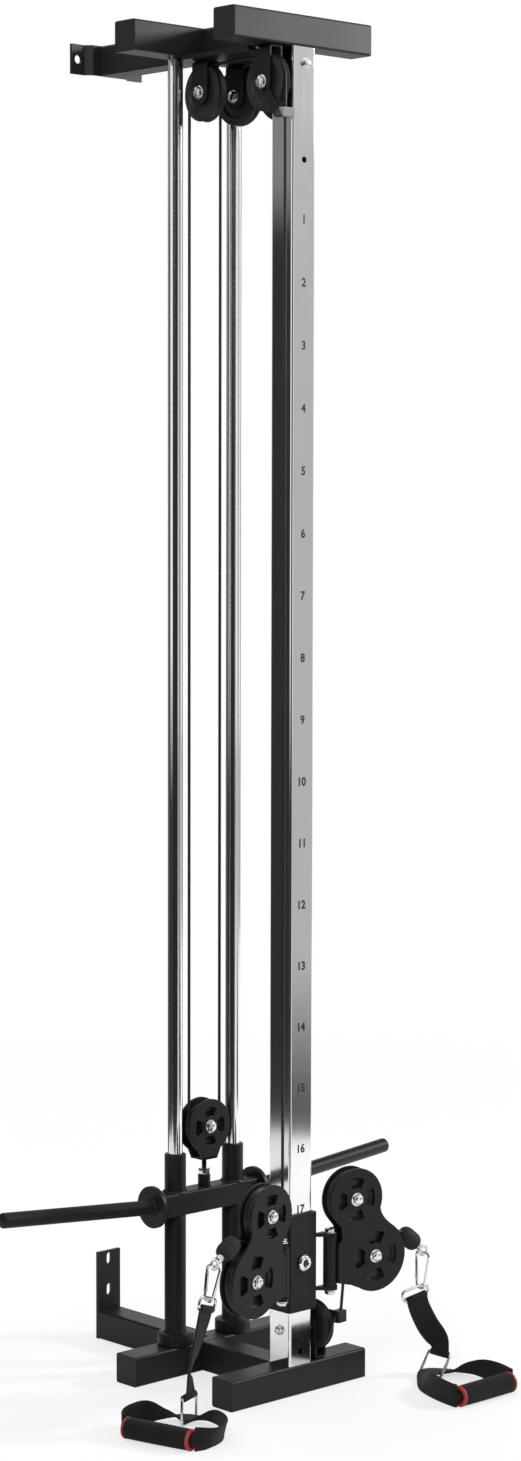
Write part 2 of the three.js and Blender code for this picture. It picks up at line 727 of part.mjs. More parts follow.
// Sliding carriage with its hinge ears, the ears' pins and the pull pin
function buildSlider() {
  let slider = squareTube(sliderOuter, sliderCorner, sliderWall, sliderHeight);
  const front = -sliderOuter / 2;
  const pinZ = pinHeight - sliderFootHeight;
  for (const side of [-1, 1]) {
    for (const height of earHeights) {
      const ear = new THREE.Shape();
      ear.moveTo(side * (sliderOuter / 2 - sliderWall / 2), hingeY + earRadius);
      ear.lineTo(side * (sliderOuter / 2 - sliderWall / 2), front + sliderCorner);
      ear.lineTo(side * hingeX, hingeY - earRadius);
      ear.absarc(side * hingeX, hingeY, earRadius, -quarter, quarter, side < 0);
      ear.closePath();
      const flat = extrude(ear, earThickness, arcSides / 2).translate(0, 0, height - sliderFootHeight);
      slider = slider.add(toSolid(flat));
    }
    const bore = bar(hingePinRadius + seat, 2 * sliderHeight, "z", [side * hingeX, hingeY, sliderHeight / 2]);
    slider = slider.subtract(bore);
  }
  slider = slider.subtract(bar(pinShankRadius + seat, 4 * sliderWall, "y", [0, front, pinZ]));
  piece("slider", slider, "satinSteel", assembly, [0, 0, sliderFootHeight]);

  const noseY = -halfTube - seat;
  const faceY = front - seat;
  const shankLength = noseY - faceY + pinRingDepth - pinRecessDepth;
  const pin = join(
    bar(pinShankRadius, shankLength, "y", [0, noseY - shankLength / 2, 0]),
    bar(pinRingRadius, pinRingDepth, "y", [0, faceY - pinRingDepth / 2, 0]));
  const recess = bar(pinRecessRadius, 2 * pinRecessDepth, "y", [0, faceY - pinRingDepth, 0]);
  piece("pull_pin", pin.subtract(recess), "chrome", assembly, [0, 0, pinHeight]);

  const pinBottom = earHeights[0] - seat;
  const pinTop = earHeights[1] + earThickness + seat;
  for (const [name, side] of [["left", -1], ["right", 1]]) {
    const length = pinTop - pinBottom;
    const shank = bar(hingePinRadius, length, "z", [0, 0, pinBottom + length / 2]);
    const head = bar(hingeHeadRadius, boltHeadHeight, "z", [0, 0, pinTop + boltHeadHeight / 2], hexSides);
    const nut = bar(hingeHeadRadius, boltHeadHeight, "z", [0, 0, pinBottom - boltHeadHeight / 2], hexSides);
    piece(`hinge_pin_${name}`, join(shank, head, nut), "chrome", assembly, [side * hingeX, hingeY, 0]);
  }
}

// Outline of an arm plate: the small lobe above, the large one below and the tab on the barrel.
function armOutline() {
  const outline = new THREE.Shape();
  const lower = [lowerLobeReach, lowerLobeHeight, lowerLobeRadius];
  const upper = [upperLobeReach, upperLobeHeight, upperLobeRadius];
  const onLobe = ([x, z, radius], angle) => [
    x + radius * Math.cos(angle * degree),
    z + radius * Math.sin(angle * degree),
  ];
  outline.moveTo(tabReach, tabFootHeight);
  outline.lineTo(...onLobe(lower, lowerLobeStart));
  outline.absarc(...lower, lowerLobeStart * degree, lowerLobeEnd * degree);
  const waist = upperLobeReach + upperLobeRadius;
  outline.quadraticCurveTo(waist - tabReach / 2, (upperLobeHeight + lowerLobeHeight) / 2 + 2 * tabReach,
    ...onLobe(upper, upperLobeStart));
  outline.absarc(...upper, upperLobeStart * degree, upperLobeEnd * degree);
  outline.lineTo(throatReach, earHeights[1] + earThickness + boltHeadHeight);
  outline.lineTo(throatReach, tabHeadHeight + (throatReach - tabReach));
  outline.lineTo(tabReach, tabHeadHeight);
  outline.closePath();
  return outline;
}

function buildArm(name, side, yawDegrees) {
  const group = new THREE.Group();
  group.position.set(side * hingeX, hingeY, 0);
  group.rotation.z = yawDegrees * degree;
  const headSide = side < 0 ? 1 : -1;
  const span = armGap + 2 * armPlateThickness;
  const plateY = (armGap + armPlateThickness) / 2;
  const plates = [-1, 1].map((face) => plate(armOutline(), armPlateThickness, face * plateY));
  const barrelBottom = earHeights[0] + earThickness + seat;
  const barrelLength = earHeights[1] - seat - barrelBottom;
  const barrel = bar(barrelRadius, barrelLength, "z", [0, 0, barrelBottom + barrelLength / 2]);
  const tabLength = throatReach - tabReach;
  const web = box([tabLength, span - armPlateThickness, tabHeadHeight - tabFootHeight],
    [tabReach + tabLength / 2, 0, (tabHeadHeight + tabFootHeight) / 2]);
  const bore = bar(hingePinRadius + seat, barrelLength + 2 * overrun, "z",
    [0, 0, barrelBottom + barrelLength / 2]);
  let arm = join(...plates, barrel, web).subtract(bore);
  const lobes = [
    ["upper", upperLobeReach, upperLobeHeight, upperLobeRadius, pulleyRadius],
    ["lower", lowerLobeReach, lowerLobeHeight, lowerLobeRadius, lowerPulleyRadius],
  ];
  for (const [, x, z, radius] of lobes) arm = arm.subtract(windows(radius, x, z, span));
  for (const [, x, z] of lobes) arm = arm.add(axle(span, x, z, headSide));
  piece(`arm_${name}`, arm, "satinSteel", group);
  for (const [lobe, x, z, , radius] of lobes) {
    piece(`arm_pulley_${lobe}_${name}`, pulley(radius, armGap), "blackPlastic", group, [x, 0, z]);
  }
  assembly.add(group);
  return group;
}

// Wire bent to a closed polygon with round corners, in the local XZ plane. The wire's two ends meet
// in the middle of the first side.
function wireRing(corners, radii) {
  const count = corners.length;
  const spots = corners.map(([x, z]) => new THREE.Vector3(x, 0, z));
  const start = spots[0].clone().lerp(spots[count - 1], 1 / 2);
  const points = [start];
  spots.forEach((corner, index) => {
    const before = spots[(index + count - 1) % count].clone().sub(corner).normalize();
    const after = spots[(index + 1) % count].clone().sub(corner).normalize();
    const from = corner.clone().addScaledVector(before, radii[index]);
    const to = corner.clone().addScaledVector(after, radii[index]);
    const bend = new THREE.QuadraticBezierCurve3(from, corner, to);
    points.push(...bend.getPoints(cornerSteps));
  });
  const last = points[points.length - 1];
  const heading = start.clone().sub(last).normalize();
  const stop = start.clone().addScaledVector(heading, -wireJoint);
  points.push(stop);
  const side = [new THREE.Vector3(0, 1, 0)];
  const bent = toSolid(sweep(ringOf(wireRadius, wireSides), points, side));
  const closer = [-wireJoint, 2 * wireJoint].map((step) => stop.clone().addScaledVector(heading, step));
  return bent.add(toSolid(sweep(ringOf(wireRadius, wireSides), closer, side)));
}

// Placement whose local -Z runs along "down" and whose local X lies as near as it can to "side".
function hung(origin, down, side) {
  const z = down.clone().negate().normalize();
  const x = side.clone().addScaledVector(z, -side.dot(z)).normalize();
  const y = new THREE.Vector3().crossVectors(z, x);
  return new THREE.Matrix4().makeBasis(x, y, z).setPosition(origin);
}

function placed(solid, matrix) {
  return toSolid(toGeometry(solid).applyMatrix4(matrix));
}

function level(degrees) {
  return new THREE.Vector3(Math.cos(degrees * degree), Math.sin(degrees * degree), 0);
}

// Angle at which a cable that turns round a wheel leaves it for a point; both in the arm's plane.
function releaseAngle([x, z], radius, [targetX, targetZ], turn) {
  const reach = Math.hypot(targetX - x, targetZ - z);
  const bearing = Math.atan2(targetZ - z, targetX - x);
  return (bearing - turn * Math.acos(radius / reach)) / degree;
}

// Rubber stop on the end of the cable, and the cable's wrap round the arm's wheels to it
function buildStop(name, group, { stop, lean, stopGap }, wrap) {
  const away = [Math.sin(lean * degree), -Math.cos(lean * degree)];
  const tip = stopLength / 2;
  const neck = stopRadius * stopNeckShare;
  const barrel = tip * stopBarrelShare;
  const profile = [[0, -tip], [neck, -tip], [stopRadius, -barrel], [stopRadius, barrel], [neck, tip],
    [0, tip]];
  const body = new THREE.LatheGeometry(profile.map(([r, y]) => new THREE.Vector2(r, y)), roundSides);
  body.rotateX(quarter).rotateY(-lean * degree);
  piece(`cable_stop_${name}`, body, "rubber", group, [stop[0], 0, stop[1]]);

  const end = [stop[0] - away[0] * (tip + stopGap), stop[1] - away[1] * (tip + stopGap)];
  const angle = releaseAngle(wrap.centre, wrap.radius, end, wrap.turn);
  const wheel = new THREE.Vector3(wrap.centre[0], 0, wrap.centre[1]);
  const lastAngle = wrap.turn > 0 ? angle + 4 * quarter / degree : angle;
  const points = arc(wheel, new THREE.Vector3(1, 0, 0), wrap.radius, 180, lastAngle);
  points[0].z += wrap.turn > 0 ? -seat : seat;
  points.push(new THREE.Vector3(end[0], 0, end[1]));
  piece(`cable_arm_${name}`, cable(points, [0, 1, 0]), "cableCoat", group);
}

// Swivel eye, snap hook, rings, strap, hand loop and grip of one handle, placed in the part's frame
function buildHandle(name, hinge, armYaw, handle) {
  const along = level(armYaw);
  const onArm = ([x, z]) => new THREE.Vector3(hinge[0], hinge[1], z).addScaledVector(along, x);
  const away = along.clone().multiplyScalar(Math.sin(handle.lean * degree));
  away.z = -Math.cos(handle.lean * degree);
  const neckStart = stopLength / 2 + seat;
  const eyeReach = neckStart + swivelLength + eyeRadius;
  const shank = bar(swivelRadius, swivelLength, "z", [0, 0, -neckStart - swivelLength / 2]);
  const eye = new THREE.TorusGeometry(eyeRadius, wireRadius, wireSides, eyeSides);
  eye.rotateX(quarter).translate(0, 0, -eyeReach);
  const stopCentre = onArm(handle.stop);
  const stopFrame = hung(stopCentre, away, along);
  piece(`swivel_eye_${name}`, placed(join(shank, toSolid(eye)), stopFrame), "chrome");

  const strapPoints = handle.strap.map((place) => new THREE.Vector3(...place));
  const strapSides = handle.strapYaws.map(level);
  const strapTop = strapPoints[0];
  const strapDown = strapPoints[1].clone().sub(strapTop).normalize();
  const ringFrame = hung(strapTop, strapDown, strapSides[0]);
  const ringCorners = [[ringHalf, 0], [ringHalf, ringHeight], [-ringHalf, ringHeight], [-ringHalf, 0]];
  const evenCorners = [ringCorner, ringCorner, ringCorner, ringCorner];
  piece(`upper_ring_${name}`, placed(wireRing(ringCorners, evenCorners), ringFrame), "chrome");

  const gap = 2 * wireRadius + linkClearance;
  const link = new THREE.Vector3(handle.ringSlide, 0, ringHeight).applyMatrix4(ringFrame);
  const eyeCentre = stopCentre.clone().addScaledVector(away, eyeReach);
  const drop = link.clone().sub(eyeCentre);
  const hookDown = drop.clone().normalize();
  const slack = eyeRadius - gap;
  const hookTop = eyeCentre.clone().addScaledVector(hookDown, slack);
  const hookFoot = slack - drop.length() - gap;
  const hookCorners = [[hookTopHalf, 0], [hookFootHalf, hookFoot], [-hookFootHalf, hookFoot],
    [-hookTopHalf, 0]];
  const hookRadii = [hookTopCorner, hookFootCorner, hookFootCorner, hookTopCorner];
  const hookShape = wireRing(hookCorners, hookRadii);
  piece(`snap_hook_${name}`, placed(hookShape, hung(hookTop, hookDown, level(handle.hookYaw))), "chrome");

  const foldRadius = wireRadius + seat + foldWall;
  const strapFoot = strapPoints[strapPoints.length - 1];
  const footSide = strapSides[strapSides.length - 1];
  const footDown = new THREE.Vector3(footSide.y, -footSide.x, 0);
  footDown.multiplyScalar(Math.sin(handle.ringLean * degree)).setZ(-Math.cos(handle.ringLean * degree));
  const footFrame = hung(strapFoot, footDown, footSide);
  const web = new THREE.Shape([[-1, -1], [1, -1], [1, 1], [-1, 1]].map(
    ([x, y]) => new THREE.Vector2((x * webWidth) / 2, (y * webThickness) / 2)));
  let ribbon = toSolid(ribbonAlong(web, strapPoints, strapSides, strapSteps));
  for (const frame of [ringFrame, footFrame]) {
    ribbon = ribbon.add(placed(bar(foldRadius, webWidth, "x", [0, 0, 0]), frame));
  }
  for (const frame of [ringFrame, footFrame]) {
    ribbon = ribbon.subtract(placed(bar(wireRadius + seat, 2 * webWidth, "x", [0, 0, 0]), frame));
  }
  piece(`strap_${name}`, ribbon, "webbing");

  const lowerCorners = [[ringHalf, 0], [ringHalf, -lowerRingHeight], [-ringHalf, -lowerRingHeight],
    [-ringHalf, 0]];
  piece(`lower_ring_${name}`, placed(wireRing(lowerCorners, evenCorners), footFrame), "chrome");
  buildHandLoop(name, handle, web);
}

function ribbonAlong(section, points, sides, steps) {
  const curve = new THREE.CatmullRomCurve3(points);
  const turns = sides.length - 1;
  const stations = [];
  const turned = [];
  for (let i = 0; i <= steps; i += 1) {
    const t = i / steps;
    const index = Math.min(Math.floor(t * turns), turns - 1);
    stations.push(curve.getPoint(t));
    turned.push(sides[index].clone().lerp(sides[index + 1], t * turns - index));
  }
  return sweep(section, stations, turned);
}

// Band from one end of the grip round to the other, which stands on edge on the floor and lies
// down where it passes through the lower ring
function buildHandLoop(name, { grip, band }, web) {
  const [gripX, gripY, gripYaw] = grip;
  const centre = new THREE.Vector3(gripX, gripY, gripRadius + floorGap);
  const endReach = gripLength / 2 + seat + webThickness;
  const [start, end] = [-1, 1].map((side) => centre.clone().addScaledVector(level(gripYaw), side * endReach));
  const places = [[start.x, start.y, 0, 0], ...band, [end.x, end.y, 0, 0]];
  const points = [];
  const sides = [];
  places.forEach(([x, y, tilt, lift], i) => {
    const before = places[Math.max(i - 1, 0)];
    const after = places[Math.min(i + 1, places.length - 1)];
    const inward = new THREE.Vector3(after[1] - before[1], before[0] - after[0], 0).normalize();
    const upShare = Math.cos(tilt * degree);
    const flatShare = Math.sin(tilt * degree);
    const height = (webWidth * upShare + webThickness * flatShare) / 2 + floorGap + lift;
    points.push(new THREE.Vector3(x, y, height));
    sides.push(inward.multiplyScalar(flatShare).setZ(upShare));
  });
  const gripFrame = new THREE.Matrix4().makeRotationZ(gripYaw * degree).setPosition(centre);
  const core = placed(bar(coreRadius, 2 * endReach, "x", [0, 0, 0]), gripFrame);
  const loop = toSolid(ribbonAlong(web, points, sides, bandSteps * (places.length - 1))).add(core);
  piece(`hand_loop_${name}`, loop, "webbing");

  const tube = bar(gripRadius, gripLength, "x", [0, 0, 0]).subtract(
    bar(gripBore, gripLength + 2 * overrun, "x", [0, 0, 0]));
  piece(`grip_${name}`, placed(tube, gripFrame), "foam");
}

// The cable's other runs, from the lift pulley over the head pulleys to the two arms
function buildCables() {
  const acrossX = new THREE.Vector3(1, 0, 0);
  const liftCentre = new THREE.Vector3(0, rodPlane, liftAxleHeight);
  const loop = arc(liftCentre, acrossX, liftTurn, 180, 360);
  const headEnd = topAxleHeight - seat;
  loop.unshift(new THREE.Vector3(-liftTurn, rodPlane, headEnd));
  loop.push(new THREE.Vector3(liftTurn, rodPlane, headEnd));
  piece("cable_lift", cable(loop, [0, 1, 0]), "cableCoat");

  const over = (stations, line) => [
    ...arc(pulleyCentre(stations[0]), line.along, cableTurn, 180, 90),
    ...arc(pulleyCentre(stations[1]), line.along, cableTurn, 90, 0),
  ];
  const across = (line) => [-line.along.y, line.along.x, 0];
  piece("cable_head_left", cable(over(topPulleys.slice(0, 2), leftLine), across(leftLine)), "cableCoat");
  const baseWrap = arc(baseCentre, baseLine.along, baseTurn, 180, baseRelease);
  const outward = new THREE.Vector3(...across(baseLine));
  const guided = guideRoute.map(([x, y, z]) => baseCentre.clone().addScaledVector(baseLine.along, x)
    .addScaledVector(outward, y).add(new THREE.Vector3(0, 0, z)));
  const right = [...over(topPulleys.slice(2), rightLine), ...baseWrap, ...guided];
  piece("cable_head_right", cable(right, across(rightLine)), "cableCoat");

  const leftFoot = new THREE.Vector3(...leftFront, upperLobeHeight);
  const leftHead = new THREE.Vector3(...leftFront, headEnd);
  piece("cable_run_left", cable([leftHead, leftFoot], [0, 1, 0]), "cableCoat");
  const start = guided[guided.length - 1].clone().add(new THREE.Vector3(0, 0, cableJoint));
  const entry = new THREE.Vector3(hingeX, hingeY, lowerLobeHeight);
  entry.addScaledVector(level(rightArmYaw), lowerLobeReach - lowerTurn);
  piece("cable_run_right", cable([start, entry], [0, 1, 0]), "cableCoat");
}

buildFrame();
buildColumn();
buildRods();
buildTopPulleys();
buildBasePulley();
buildCarriage();
buildSlider();
const upperWheel = { centre: [upperLobeReach, upperLobeHeight], radius: cableTurn, turn: 1 };
const lowerWheel = { centre: [lowerLobeReach, lowerLobeHeight], radius: lowerTurn, turn: -1 };
buildStop("left", buildArm("left", -1, leftArmYaw), leftHandle, upperWheel);
buildStop("right", buildArm("right", 1, rightArmYaw), rightHandle, lowerWheel);
buildHandle("left", [-hingeX, hingeY], leftArmYaw, leftHandle);
buildHandle("right", [hingeX, hingeY], rightArmYaw, rightHandle);
buildCables();

export default assembly;
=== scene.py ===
import math
import bmesh
import bpy
import numpy as np
from mathutils import Matrix, Vector
from mathutils.geometry import tessellate_polygon


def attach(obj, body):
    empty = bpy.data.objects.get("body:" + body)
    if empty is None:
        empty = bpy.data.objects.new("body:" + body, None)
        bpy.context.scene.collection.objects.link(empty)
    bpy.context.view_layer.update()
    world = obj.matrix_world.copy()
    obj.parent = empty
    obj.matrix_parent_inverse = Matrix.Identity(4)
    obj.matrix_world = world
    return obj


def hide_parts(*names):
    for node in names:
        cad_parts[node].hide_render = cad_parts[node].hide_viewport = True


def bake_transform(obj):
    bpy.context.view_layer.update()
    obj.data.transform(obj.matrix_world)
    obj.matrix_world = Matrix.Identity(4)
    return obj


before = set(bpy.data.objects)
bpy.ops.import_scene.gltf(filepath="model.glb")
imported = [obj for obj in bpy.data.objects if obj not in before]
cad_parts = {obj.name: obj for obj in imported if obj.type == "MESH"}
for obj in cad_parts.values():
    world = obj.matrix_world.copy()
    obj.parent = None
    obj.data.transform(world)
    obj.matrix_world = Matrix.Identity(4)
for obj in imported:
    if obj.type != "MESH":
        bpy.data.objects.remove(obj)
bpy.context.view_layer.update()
mm = 0.001
print("stage: CAD frame loaded")

# the photograph's view, worked out from the frame's corners
camera = {"place": (-3.3882, -3.5488, 1.4400), "azimuth": -43.083, "down": 4.082, "roll": 0.123,
          "lens": 74.853, "sensor": 36, "far": 60}


def addCamera():
    # looks along (-sin(az)*cos(el), cos(az)*cos(el), -sin(el)), then rolls about that line
    data = bpy.data.cameras.new("camera")
    data.sensor_fit, data.sensor_height, data.lens = "VERTICAL", camera["sensor"], camera["lens"]
    data.clip_end = camera["far"]
    obj = bpy.data.objects.new("camera", data)
    az, el, roll = (math.radians(camera[k]) for k in ("azimuth", "down", "roll"))
    look = Vector((-math.sin(az) * math.cos(el), math.cos(az) * math.cos(el), -math.sin(el)))
    right = look.cross(Vector((0, 0, 1))).normalized()
    up = right.cross(look)
    right, up = right * math.cos(roll) + up * math.sin(roll), up * math.cos(roll) - right * math.sin(roll)
    turn = Matrix((right, up, -look)).transposed().to_4x4()
    obj.matrix_world = Matrix.Translation(camera["place"]) @ turn
    bpy.context.collection.objects.link(obj)
    bpy.context.scene.camera = obj


addCamera()
print("stage: camera")


# shapes: each is (points, faces, uv per point), in metres

def unit(v):  # each row over its own length
    v = np.asarray(v, float)
    return v / np.maximum(np.linalg.norm(v, axis=-1, keepdims=True), 1e-12)


def gridShape(points, closedU=False, closedV=False, capU=False, uv=None):
    # points[u, v] is the surface; neighbours u, u+1 and v, v+1 make one quad
    nu, nv = points.shape[:2]
    u = np.arange(nu if closedU else nu - 1)[:, None]
    v = np.arange(nv if closedV else nv - 1)[None, :]
    nextU, nextV = (u + 1) % nu, (v + 1) % nv
    quads = np.broadcast_arrays(u * nv + v, nextU * nv + v, nextU * nv + nextV, u * nv + nextV)
    faces = np.stack(quads, -1).reshape(-1, 4).tolist()
    if capU:
        faces.append(list(range(nv)))
        faces.append(list(range(nu * nv - 1, (nu - 1) * nv - 1, -1)))
    flat = points.reshape(-1, 3)
    return flat, faces, np.zeros((len(flat), 2)) if uv is None else np.asarray(uv).reshape(-1, 2)


def together(*shapes):  # one shape of several, the point numbers counted on
    points, faces, uvs, start = [], [], [], 0
    for p, f, t in shapes:
        points.append(p)
        uvs.append(t)
        faces.extend([[i + start for i in face] for face in f])
        start += len(p)
    return np.concatenate(points), faces, np.concatenate(uvs)


def moved(shape, along=(1, 0, 0), across=(0, 1, 0), up=(0, 0, 1), origin=(0, 0, 0)):
    # point = origin + x*along + y*across + z*up
    return shape[0] @ np.array([along, across, up], float) + np.array(origin, float), shape[1], shape[2]


def axesOf(axis):  # two unit vectors square to the axis and to each other
    z = unit(axis)
    x = unit(np.cross([1.0, 0, 0] if abs(z[0]) < 0.8 else [0, 1.0, 0], z))
    return x, np.cross(z, x), z


def revolve(profile, origin=(0, 0, 0), axis=(0, 0, 1), sides=56):
    # point = origin + r*cos(t)*x + r*sin(t)*y + h*axis, for each (r, h) of the profile
    x, y, z = axesOf(axis)
    closed = np.allclose(profile[0], profile[-1])
    r, h = np.array(profile[:-1] if closed else profile, float).T
    t = np.linspace(0, 2 * np.pi, sides, endpoint=False)
    ring = np.cos(t)[:, None] * x + np.sin(t)[:, None] * y
    points = np.array(origin, float) + r[:, None, None] * ring[None] + h[:, None, None] * z
    uv = np.stack(np.broadcast_arrays(np.max(r) * t[None, :], h[:, None]), -1)
    return gridShape(points, closedU=closed, closedV=True, uv=uv)


def rounded(corners, radius, steps=6):
    # each corner of the closed loop becomes (1-t)^2*from + 2t(1-t)*corner + t^2*to
    c = np.array(corners, float)
    radius = np.broadcast_to(np.array(radius, float), (len(c),))[:, None]
    t = np.linspace(0, 1, steps)[None, :, None]
    a = (c + unit(np.roll(c, 1, 0) - c) * radius)[:, None]
    b = (c + unit(np.roll(c, -1, 0) - c) * radius)[:, None]
    return ((1 - t) ** 2 * a + 2 * t * (1 - t) * c[:, None] + t ** 2 * b).reshape(-1, c.shape[1])


def roundedBox(low, high, radius, steps=6):  # the rectangle between two corners, its own corners rounded
    (left, foot), (right, top) = low, high
    return rounded([(left, foot), (right, foot), (right, top), (left, top)], radius, steps)


def barProfile(radius, long, ease):  # a round bar's (radius, height) profile, its two ends eased
    top, side = long - ease, radius - ease
    return [(0, 0), (side, 0), (radius, ease), (radius, top), (side, long), (0, long)]


def flatArc(radius, start, stop, steps, centre=(0, 0)):  # centre + radius*(cos, sin), degrees
    t = np.radians(np.linspace(start, stop, steps))
    return np.stack([centre[0] + radius * np.cos(t), centre[1] + radius * np.sin(t)], -1)


def circle(radius, sides):  # radius*(cos, sin) all the way round
    return flatArc(radius, 0, 360, sides + 1)[:-1]


def inset(loop, amount):  # each point moves along the mean of its two edges' inner normals
    edge = unit(np.roll(loop, -1, 0) - loop)
    normal = np.stack([-edge[:, 1], edge[:, 0]], -1)
    return loop + unit(normal + np.roll(normal, 1, 0)) * amount


def leftTurned(loop):  # the loop runs anticlockwise
    area = np.sum(loop[:, 0] * np.roll(loop[:, 1], -1) - loop[:, 1] * np.roll(loop[:, 0], -1))
    return loop if area > 0 else loop[::-1]


def plateShape(outline, thickness, holes=(), edge=0.6 * mm, centre=0.0):
    # outline and holes lie in the local XZ plane and the thickness runs along local Y; edges are eased
    loops = [leftTurned(np.array(outline, float))] + [leftTurned(np.array(h, float))[::-1] for h in holes]
    half = thickness / 2
    rows = [(-half, edge), (-half + 0.3 * edge, 0.3 * edge), (-half + edge, 0), (half - edge, 0),
            (half - 0.3 * edge, 0.3 * edge), (half, edge)]
    points, faces, starts, count = [], [], [], 0
    for loop in loops:
        rings = [np.insert(inset(loop, amount), 1, centre + y, axis=1) for y, amount in rows]
        p, f, _ = gridShape(np.stack(rings), closedV=True)
        points.append(p)
        faces.extend([[i + count for i in face] for face in f])
        starts.append((count, len(loop)))
        count += len(p)
    points = np.concatenate(points)
    for row in (0, len(rows) - 1):
        ids = [np.arange(s + row * n, s + (row + 1) * n) for s, n in starts]
        order = np.concatenate(ids)
        flat = [[Vector((x, z, 0)) for x, _, z in points[i]] for i in ids]
        faces.extend([[int(order[i]) for i in tri] for tri in tessellate_polygon(flat)])
    return points, faces, np.zeros((len(points), 2))


def curveThrough(path):
    # Catmull-Rom curve (2b + (c-a)t + bend*t^2 + twist*t^3)/2 from b to c, in 24 steps for each stretch
    path = np.array(path, float)
    p = np.concatenate([[2 * path[0] - path[1]], path, [2 * path[-1] - path[-2]]])
    t = np.linspace(0, 1, 24, endpoint=False)[None, :, None]
    a, b, c, d = p[:-3, None], p[1:-2, None], p[2:-1, None], p[3:, None]
    bend, twist = 2 * a - 5 * b + 4 * c - d, 3 * b - a - 3 * c + d
    curve = 0.5 * (2 * b + (c - a) * t + bend * t ** 2 + twist * t ** 3)
    return np.concatenate([curve.reshape(-1, path.shape[1]), path[-1:]])


def evenly(path, count):  # even steps along the path; columns past the third are carried with it
    s = lengths(path[:, :3])
    at = np.linspace(0, s[-1], count)
    return np.stack([np.interp(at, s, column) for column in path.T], -1)


def lengths(path):  # how far along the path each point lies
    return np.concatenate([[0], np.cumsum(np.linalg.norm(np.diff(path, axis=0), axis=1))])


def framesOf(path, side, closed=False):
    # n is the side vector made square to the path's direction, b is square to both
    if closed:
        tangent = unit(np.roll(path, -1, 0) - np.roll(path, 1, 0))
    else:
        tangent = unit(np.gradient(path, axis=0))
    side = np.broadcast_to(np.array(side, float), path.shape)
    n = unit(side - np.sum(side * tangent, 1, keepdims=True) * tangent)
    return tangent, n, np.cross(tangent, n)


def carried(section, path, side, closed=False):
    # point = path + x*n + y*b for each (x, y) of the section
    path, section = np.array(path, float), np.array(section, float)
    _, n, b = framesOf(path, side, closed)
    points = path[:, None] + section[None, :, :1] * n[:, None] + section[None, :, 1:] * b[:, None]
    uv = np.stack(np.broadcast_arrays(lengths(path)[:, None], section[None, :, 0]), -1)
    return gridShape(points, closedU=closed, closedV=True, capU=not closed, uv=uv)


def upright(top, foot, radius, count, sides=16):
    # a straight round run whose rings all lie level
    line = np.linspace(top, foot, count)
    ring = np.pad(circle(radius, sides), ((0, 0), (0, 1)))
    return gridShape(line[:, None] + ring[None], closedV=True, capU=True)


def hexHead(across, height, origin, axis, dome=0.0, washer=0.0):
    # a chamfered hexagon on the axis, with a washer under it and a dome on top
    x, y, z = axesOf(axis)
    flats = rounded(flatArc(across / math.sqrt(3), 0, 360, 7)[:-1], 0.7 * mm, 3)
    prism = plateShape(flats, height - washer, edge=0.9 * mm, centre=-(height + washer) / 2)
    parts = [moved(prism, x, -z, y, origin)]
    r = across / 2
    if washer:
        w, foot, rim, bevel = washer + 0.1 * mm, -0.05 * mm, r * 1.3, r * 1.22
        ring = [(0, foot), (bevel, foot), (rim, 0.2 * mm), (rim, w - 0.3 * mm), (bevel, w), (0, w)]
        parts.append(revolve(ring, origin, axis, 40))
    if dome:
        capRadius, foot = r * 0.94, height - 0.5 * mm
        cap = [(0, foot), (capRadius, foot)]
        cap += [(capRadius * math.cos(k), height + dome * math.sin(k)) for k in np.linspace(0, np.pi / 2, 9)]
        parts.append(revolve(cap, origin, axis, 40))
    return together(*parts)


# materials: Python expressions that add their own nodes

class Sock:  # a node's output that takes part in sums
    def __init__(self, tree, socket):
        self.tree, self.socket = tree, socket

    def __add__(self, other):
        return self.tree.maths("ADD", self, other)

    def __sub__(self, other):
        return self.tree.maths("SUBTRACT", self, other)

    def __rsub__(self, other):
        return self.tree.maths("SUBTRACT", other, self)

    def __mul__(self, other):
        return self.tree.maths("MULTIPLY", self, other)

    __radd__, __rmul__ = __add__, __mul__

    def wave(self):  # its sine
        return self.tree.maths("SINE", self)


